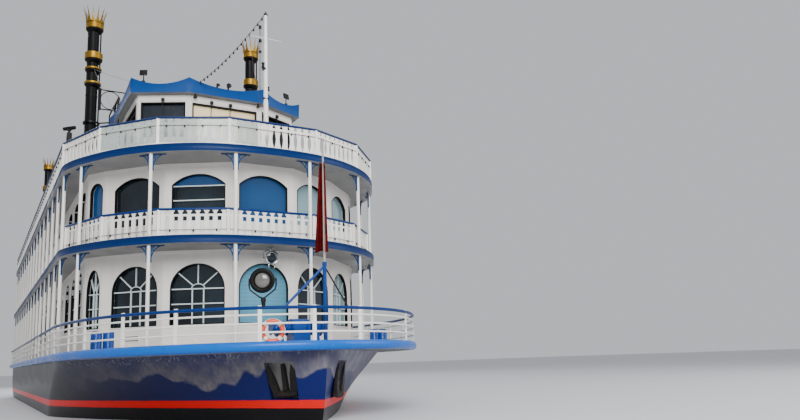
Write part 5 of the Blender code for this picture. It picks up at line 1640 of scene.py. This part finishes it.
# The two edges leave a gap towards the bow, where the staff shows between them
angle = 0.20 + (2 * np.pi - 1.25) * along + 0.08 * np.sin(4 * down)
radius = spread * (0.76 + 0.24 * swing * (0.4 + 0.6 * down)) + 0.010
flag_x = JACK_X - 0.008 - 0.030 * down + radius * np.cos(angle) * 0.8
flag_y = -0.010 - 0.014 * down + radius * np.sin(angle)
flag_z = FLAG_TOP - FLAG_HIGH * down - 0.05 * down * (0.5 + 0.5 * np.cos(angle + 0.6))
flag_points = np.stack([flag_x, flag_y, np.broadcast_to(flag_z, flag_x.shape)], -1)
i, j = np.meshgrid(np.arange(rows - 1), np.arange(columns - 1), indexing="ij")
flag_quads = np.stack([i * columns + j, i * columns + j + 1, (i + 1) * columns + j + 1,
                       (i + 1) * columns + j], -1).reshape(-1, 4)
flag = piece("jack_flag", shape(flag_points, flag_quads), flag_cloth, smooth=80)
thickness = flag.modifiers.new("cloth", "SOLIDIFY")
thickness.thickness, thickness.offset = 0.003, 0.0
tie = hoop((JACK_X, -0.003, FLAG_TOP - 0.06), (0.045, 0, 0), (0, 0.045, 0), 0.004, turn_steps(12))
piece("jack_flag_tie", tie, brown_wire)

# %% [markdown]
# ## Foredeck gear
#
# The windlass, the mooring posts, the floodlight and the life ring stand on the bow.
# They are turned and rounded forms, so each is a few profiles put together.

# %% Windlass
WINDLASS_X, PLATE_TOP, SHAFT_Z = 10.35, 1.806, 2.01
hood = np.linspace(0, np.pi, 12)
casing = np.column_stack([0.15 * np.cos(hood), 0 * hood, 2.00 + 0.148 * np.sin(hood)])
casing = np.vstack([[(0.165, 0, 1.80), (0.15, 0, 1.83)], casing,
                    [(-0.15, 0, 1.83), (-0.165, 0, 1.80)]])


def across_y(section, low, high):
    """A section in x and z carried between two distances to the side."""
    return skin([section + (0, low, 0), section + (0, high, 0)])


drum = turned([(0.118, 0.0), (0.120, 0.006), (0.118, 0.014), (0.085, 0.020),
               (0.075, 0.045), (0.078, 0.075), (0.100, 0.088), (0.102, 0.096)], 24,
              (0, 0.334, SHAFT_Z), (0, 1, 0))
windlass_form = together(
    across_y(casing, -0.13, 0.13),
    across_y(casing * (0.7, 1, 1), -0.135, 0.135),
    turned([(0.058, -0.40), (0.058, 0.40)], 18, (0, 0, SHAFT_Z), (0, 1, 0)),
    drum, moved(drum, size=(1, -1, 1)),
    *(across_y(np.array([(-0.10, 0, 1.80), (-0.045, 0, 2.05), (0.045, 0, 2.05), (0.10, 0, 1.80)]),
               s * 0.28 - 0.02, s * 0.28 + 0.02) for s in (-1, 1)),
    *(turned([(0.085, -0.03), (0.11, -0.022), (0.09, 0.0), (0.11, 0.022), (0.085, 0.03)], 20,
             (0, s * 0.205, SHAFT_Z), (0, 1, 0)) for s in (-1, 1)),
    block((-0.275, -0.40, DECK_REST), (0.275, 0.40, PLATE_TOP)),
    turned([(0.045, 0.0), (0.045, 0.11), (0.0, 0.115)], 14, (-0.20, 0.0, 1.80)),
    tube([(0.14, 0.05, 1.95), (0.21, 0.05, 2.0), (0.245, 0.05, 2.10)], 0.010, 8),
    ball(0.016, 8, (0.247, 0.05, 2.105)),
)
piece("windlass_machine", moved(windlass_form, (WINDLASS_X, 0, 0)), gear_blue,
      bevel=0.006, replaces="windlass")
# Nine links run ahead from the machine on each side, every other one on its edge
chains = [hoop((10.37 + 0.034 * k, s * (0.205 + 0.004 * k), 1.812), (0.020, 0, 0),
               (0, 0.011, 0) if k % 2 else (0, 0, 0.011), 0.0055, turn_steps(12))
          for s in (-1, 1) for k in range(9)]
piece("anchor_chains", together(*chains), iron)

# %% Mooring posts
for side_name, side in SIDES:
    x, y = 8.40, side * 2.40
    barrel = [(0.0, 1.80), (0.086, 1.80), (0.083, 1.815), (0.082, 2.055), (0.076, 2.075),
              (0.050, 2.086), (0.0, 2.09)]
    form = together(block((x - 0.12, y - 0.23, DECK_REST), (x + 0.12, y + 0.23, PLATE_TOP)),
                    *(turned(barrel, 24, (x, y + s * 0.087, 0)) for s in (-1, 1)),
                    *(turned([(0.0, 0.0), (0.010, 0.0), (0.010, 0.010), (0.0, 0.012)], 6,
                             (x + a * 0.10, y + b * 0.21, PLATE_TOP))
                      for a in (-1, 1) for b in (-1, 1)))
    piece(f"mooring_posts_{side_name}", form, gear_blue, bevel=0.005,
          replaces=f"bitts_{side_name}")

# %% Floodlight on the bow rail
LAMP = np.array([bow_x(main_line, 0.85), -0.85, 2.59])
lamp_way = unit(np.array([0.13, -0.08, -0.01]))
case = [(0.0, -0.075), (0.05, -0.072), (0.095, -0.05), (0.135, -0.01), (0.150, 0.03),
        (0.152, 0.055), (0.163, 0.058), (0.165, 0.066), (0.165, 0.080), (0.158, 0.088),
        (0.138, 0.092), (0.112, 0.086), (0.102, 0.066), (0.0, 0.060)]
piece("bow_floodlight", turned(case, 40, LAMP, lamp_way), black, smooth=40,
      replaces="floodlight")
dome = np.linspace(0, np.pi / 2, 9)
dome = np.column_stack([0.101 * np.cos(dome), 0.062 + 0.040 * np.sin(dome)])
lens_form = turned(np.vstack([[(0.0, 0.058)], dome]), 36, LAMP, lamp_way)
piece("bow_floodlight_lens", lens_form, lens, smooth=60)
side_way = unit(np.cross((0, 0, 1), lamp_way))
fork, hold = [], LAMP + 0.05 * lamp_way
for s in (-1, 1):
    arm_path = [hold + s * apart * side_way + (0, 0, up)
                for apart, up in ((0.174, 0.03), (0.178, -0.06), (0.164, -0.12), (0.040, -0.215))]
    fork.append(tube([*arm_path, LAMP - (0, 0, 0.235)], 0.010, 8))
    fork.append(turned([(0.022, 0.0), (0.022, 0.012), (0.0, 0.016)], 12,
                       LAMP + s * 0.164 * side_way, s * side_way))
fork.append(turned([(0.022, RAIL_Z), (0.028, 2.30), (0.034, 2.33), (0.034, 2.352),
                    (0.016, 2.37)], 14, (*LAMP[:2], 0)))
piece("bow_floodlight_fork", together(*fork), iron)

# %% Searchlight under the second deck's edge
SEARCH = np.array([9.20, 0.0, 3.217])
aim = unit(np.array([0.18, -0.01, -0.03]))
body_profile = [(0.0, -0.082), (0.04, -0.080), (0.072, -0.062), (0.088, -0.03), (0.092, 0.02),
                (0.100, 0.05), (0.110, 0.060), (0.110, 0.088), (0.102, 0.096), (0.092, 0.090),
                (0.088, 0.070), (0.0, 0.066)]
piece("searchlight_case", turned(body_profile, 36, SEARCH, aim), steel, smooth=40,
      replaces="searchlight")
piece("searchlight_lens", turned([(0.0, 0.066), (0.086, 0.068), (0.06, 0.082), (0.0, 0.088)], 30,
                                 SEARCH, aim), dark_glass, smooth=60)
hanger = together(
    turned([(0.05, 0.0), (0.05, 0.012), (0.020, 0.02), (0.018, 0.06)], 16,
           (9.20, 0.0, 3.386), (0, 0, -1)),
    tube([(9.20, y, z) for y, z in ((-0.118, 3.20), (-0.122, 3.29), (-0.06, 3.335),
                                    (0.06, 3.335), (0.122, 3.29), (0.118, 3.20))], 0.010, 8),
    hoop((9.26, 0.0, 3.075), (0, 0, 0.045), (0, 0.055, 0), 0.008),
    tube([(9.25, 0.0, 3.135), (9.255, 0.0, 3.11)], 0.010, 6),
)
piece("searchlight_hanger", hanger, steel)

# %% Life ring
RING, RING_R, GRAB_R = np.mean([list(corner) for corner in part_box("life_ring")], 0), 0.13, 0.163
# It stands along a line inside the guard: its width, a gap and half the ring's thickness in
ring_line = inset(guard_plan, 0.08 + 0.002 + 0.030)
ring_side = unit(np.array([bow_x(ring_line, 0.67) - bow_x(ring_line, 0.77), 0.10, 0]))


def upright_ring(radius, thick, angles=turn_steps(48), loop=True):
    """A round bar bent into a ring, upright, facing out over the bow."""
    return hoop(RING, radius * ring_side, (0, 0, radius), thick, angles, loop, 12)


piece("life_ring_float", upright_ring(RING_R, 0.0295), orange,
      smooth=60, replaces="life_ring")
bands = [upright_ring(RING_R, 0.0308, np.linspace(c - 0.17, c + 0.17, 6), False)
         for c in np.radians((45, 135, 225, 315))]
piece("life_ring_bands", together(*bands), lamp_white, smooth=60)
piece("life_ring_grab_line", upright_ring(GRAB_R, 0.0035), lamp_white)

# %% [markdown]
# ## Paddle wheel
#
# The stern wheel turns on a steel axle between two beams. Its boards are bolted to arms
# that meet at three hubs, and rims tie the arms together. A solid drum would be quicker,
# but light passes through the real one, so arms and boards are laid round in one sum.

# %% Wheel
HUB = np.array([-10.05, 0.0, 1.78])
SPOKES, WHEEL_R, WHEEL_HALF = 10, 1.45, 2.10
# The three frames of arms stand at these distances to the side
FRAMES = (-1.98, 0.0, 1.98)
angles = turn_steps(SPOKES)
outward = np.column_stack([np.cos(angles), 0 * angles, np.sin(angles)])
paddle = block((-0.021, -WHEEL_HALF, WHEEL_R - 0.33), (0.021, WHEEL_HALF, WHEEL_R - 0.004))
arm_bars = [block((-0.034, y - 0.029, 0.10), (0.0, y + 0.029, WHEEL_R - 0.06)) for y in FRAMES]
plates = [block((-0.028, y - 0.06, WHEEL_R - 0.34), (0.028, y + 0.06, WHEEL_R - 0.03))
          for y in FRAMES]


def round_wheel(form):
    """A part of one arm, given as (across the arm, along the axle, outwards), repeated at
    each arm."""
    along = np.array([0.0, 1.0, 0.0])
    axes = np.stack([np.cross(along, outward), np.tile(along, (SPOKES, 1)), outward], 1)
    return repeated(form, np.einsum("pj,kjc->kpc", form[0], axes) + HUB)


def round_axle(section, angles, ends):
    """A section of (radius, to the side) points carried round the axle."""
    r, y = np.transpose(section)
    turn = np.asarray(angles)[:, None]
    rings = np.stack([HUB[0] + r * np.cos(turn), y + 0 * turn, HUB[2] + r * np.sin(turn)], -1)
    return skin(rings, ends)


def rim(y, r_in, r_out, half_thick):
    """A flat ring round the axle."""
    section = [(r, y + side * half_thick)
               for r, side in ((r_in, -1), (r_out, -1), (r_out, 1), (r_in, 1))]
    return round_axle(section, turn_steps(60), "loop")


wheel = [round_wheel(form) for form in (paddle, *arm_bars)]
wheel += [rim(y, *sizes) for sizes in ((0.985, 1.05, 0.022), (0.50, 0.545, 0.018))
          for y in FRAMES]
wheel += [turned([(0.15, -0.10), (0.20, -0.05), (0.20, 0.05), (0.15, 0.10)], 28,
                 (HUB[0], y, HUB[2]), (0, 1, 0)) for y in (-1.97, 0.0, 1.97)]
piece("paddle_wheel_frame", together(*wheel), wheel_red, body="paddle_wheel_body",
      bevel=0.004, replaces="paddle_wheel")
bolt = turned([(0.012, -0.030), (0.012, 0.030)], 6, (0, 0, 0), (1, 0, 0))
straps = [round_wheel(form) for form in plates]
straps += [round_wheel(moved(bolt, (0, y + dy, WHEEL_R - back)))
           for y in FRAMES for dy in (-0.03, 0.03) for back in (0.08, 0.18, 0.28)]
straps.append(turned([(0.078, -2.45), (0.078, 2.45)], 28, HUB, (0, 1, 0)))
piece("paddle_wheel_straps", together(*straps), iron, body="paddle_wheel_body")

# %% Caps of the wheel's bearings
caps = []
for _, side in SIDES:
    y = side * 2.40
    section = [(0.096, y - 0.07), (0.135, y - 0.07), (0.135, y + 0.07), (0.096, y + 0.07)]
    caps.append(round_axle(section, np.linspace(0.0, np.pi, 17), "cap"))
    for dx in (-0.20, 0.20):
        caps.append(block((HUB[0] + dx - 0.07, y - 0.06, HUB[2] + 0.101),
                          (HUB[0] + dx + 0.07, y + 0.06, HUB[2] + 0.125)))
        caps.append(turned([(0.0, 0.0), (0.018, 0.0), (0.018, 0.02), (0.0, 0.024)], 6,
                           (HUB[0] + dx, y, HUB[2] + 0.125)))
piece("wheel_bearing_caps", together(*caps), iron, bevel=0.004)

# %% [markdown]
# ## Stage, light and camera
#
# The boat floats, so the floor stands at its waterline. Large soft lights give the even
# light of an overcast day. The camera has the photograph's own place and lens.

# %% Floor, lights and camera
floor_mesh = bpy.data.meshes.new("floor")
FLOOR_HALF = 260
floor_mesh.from_pydata(level(FLOOR_HALF * SQUARE, WATERLINE).tolist(), [], [(0, 1, 2, 3)])
floor_object = put("floor", floor_mesh)
pale, tree, shader = blank("pale floor")
feed(tree, shader, {"Base Color": (0.62, 0.63, 0.65, 1), "Roughness": 0.7})
floor_mesh.materials.append(pale)

world = bpy.data.worlds.new("studio")
bpy.context.scene.world = world
world.use_nodes = True
sky = world.node_tree.nodes["Background"]
sky.inputs[0].default_value = (0.80, 0.83, 0.88, 1)
sky.inputs[1].default_value = 0.74


def area(name, at, target, size, power):
    """A square soft light that looks at a point."""
    light = bpy.data.lights.new(name, "AREA")
    light.shape, light.size, light.energy = "SQUARE", size, power
    made = put(name, light)
    made.location = at
    made.rotation_mode = "QUATERNION"
    made.rotation_quaternion = (Vector(target) - Vector(at)).to_track_quat("-Z", "Y")


area("key", (29, -7, 13), (5, 0, 4), 12, 7000)
area("fill", (20, 20, 12), (5, 0, 4), 14, 2600)
area("back", (-20, 0, 16), (-4, 0, 4), 14, 2600)

CAMERA_AT = (20.206, -4.074, 1.50)
yaw, pitch, roll = 0.536, 0.1667, -0.034
ahead = np.array([-np.cos(yaw) * np.cos(pitch), np.sin(yaw) * np.cos(pitch), np.sin(pitch)])
right = np.array([np.sin(yaw), np.cos(yaw), 0.0])
upward = np.cross(right, ahead)
right, upward = (right * np.cos(roll) + upward * np.sin(roll),
                 -right * np.sin(roll) + upward * np.cos(roll))
view = bpy.data.cameras.new("camera")
view.sensor_width, view.lens, view.shift_y = 36.0, 32.238, 0.037
camera = put("camera", view)
place = Matrix(np.column_stack([right, upward, -ahead]).tolist()).to_4x4()
place.translation = CAMERA_AT
camera.matrix_world = place
bpy.context.scene.camera = camera
print("camera at", [round(x, 2) for x in camera.location])
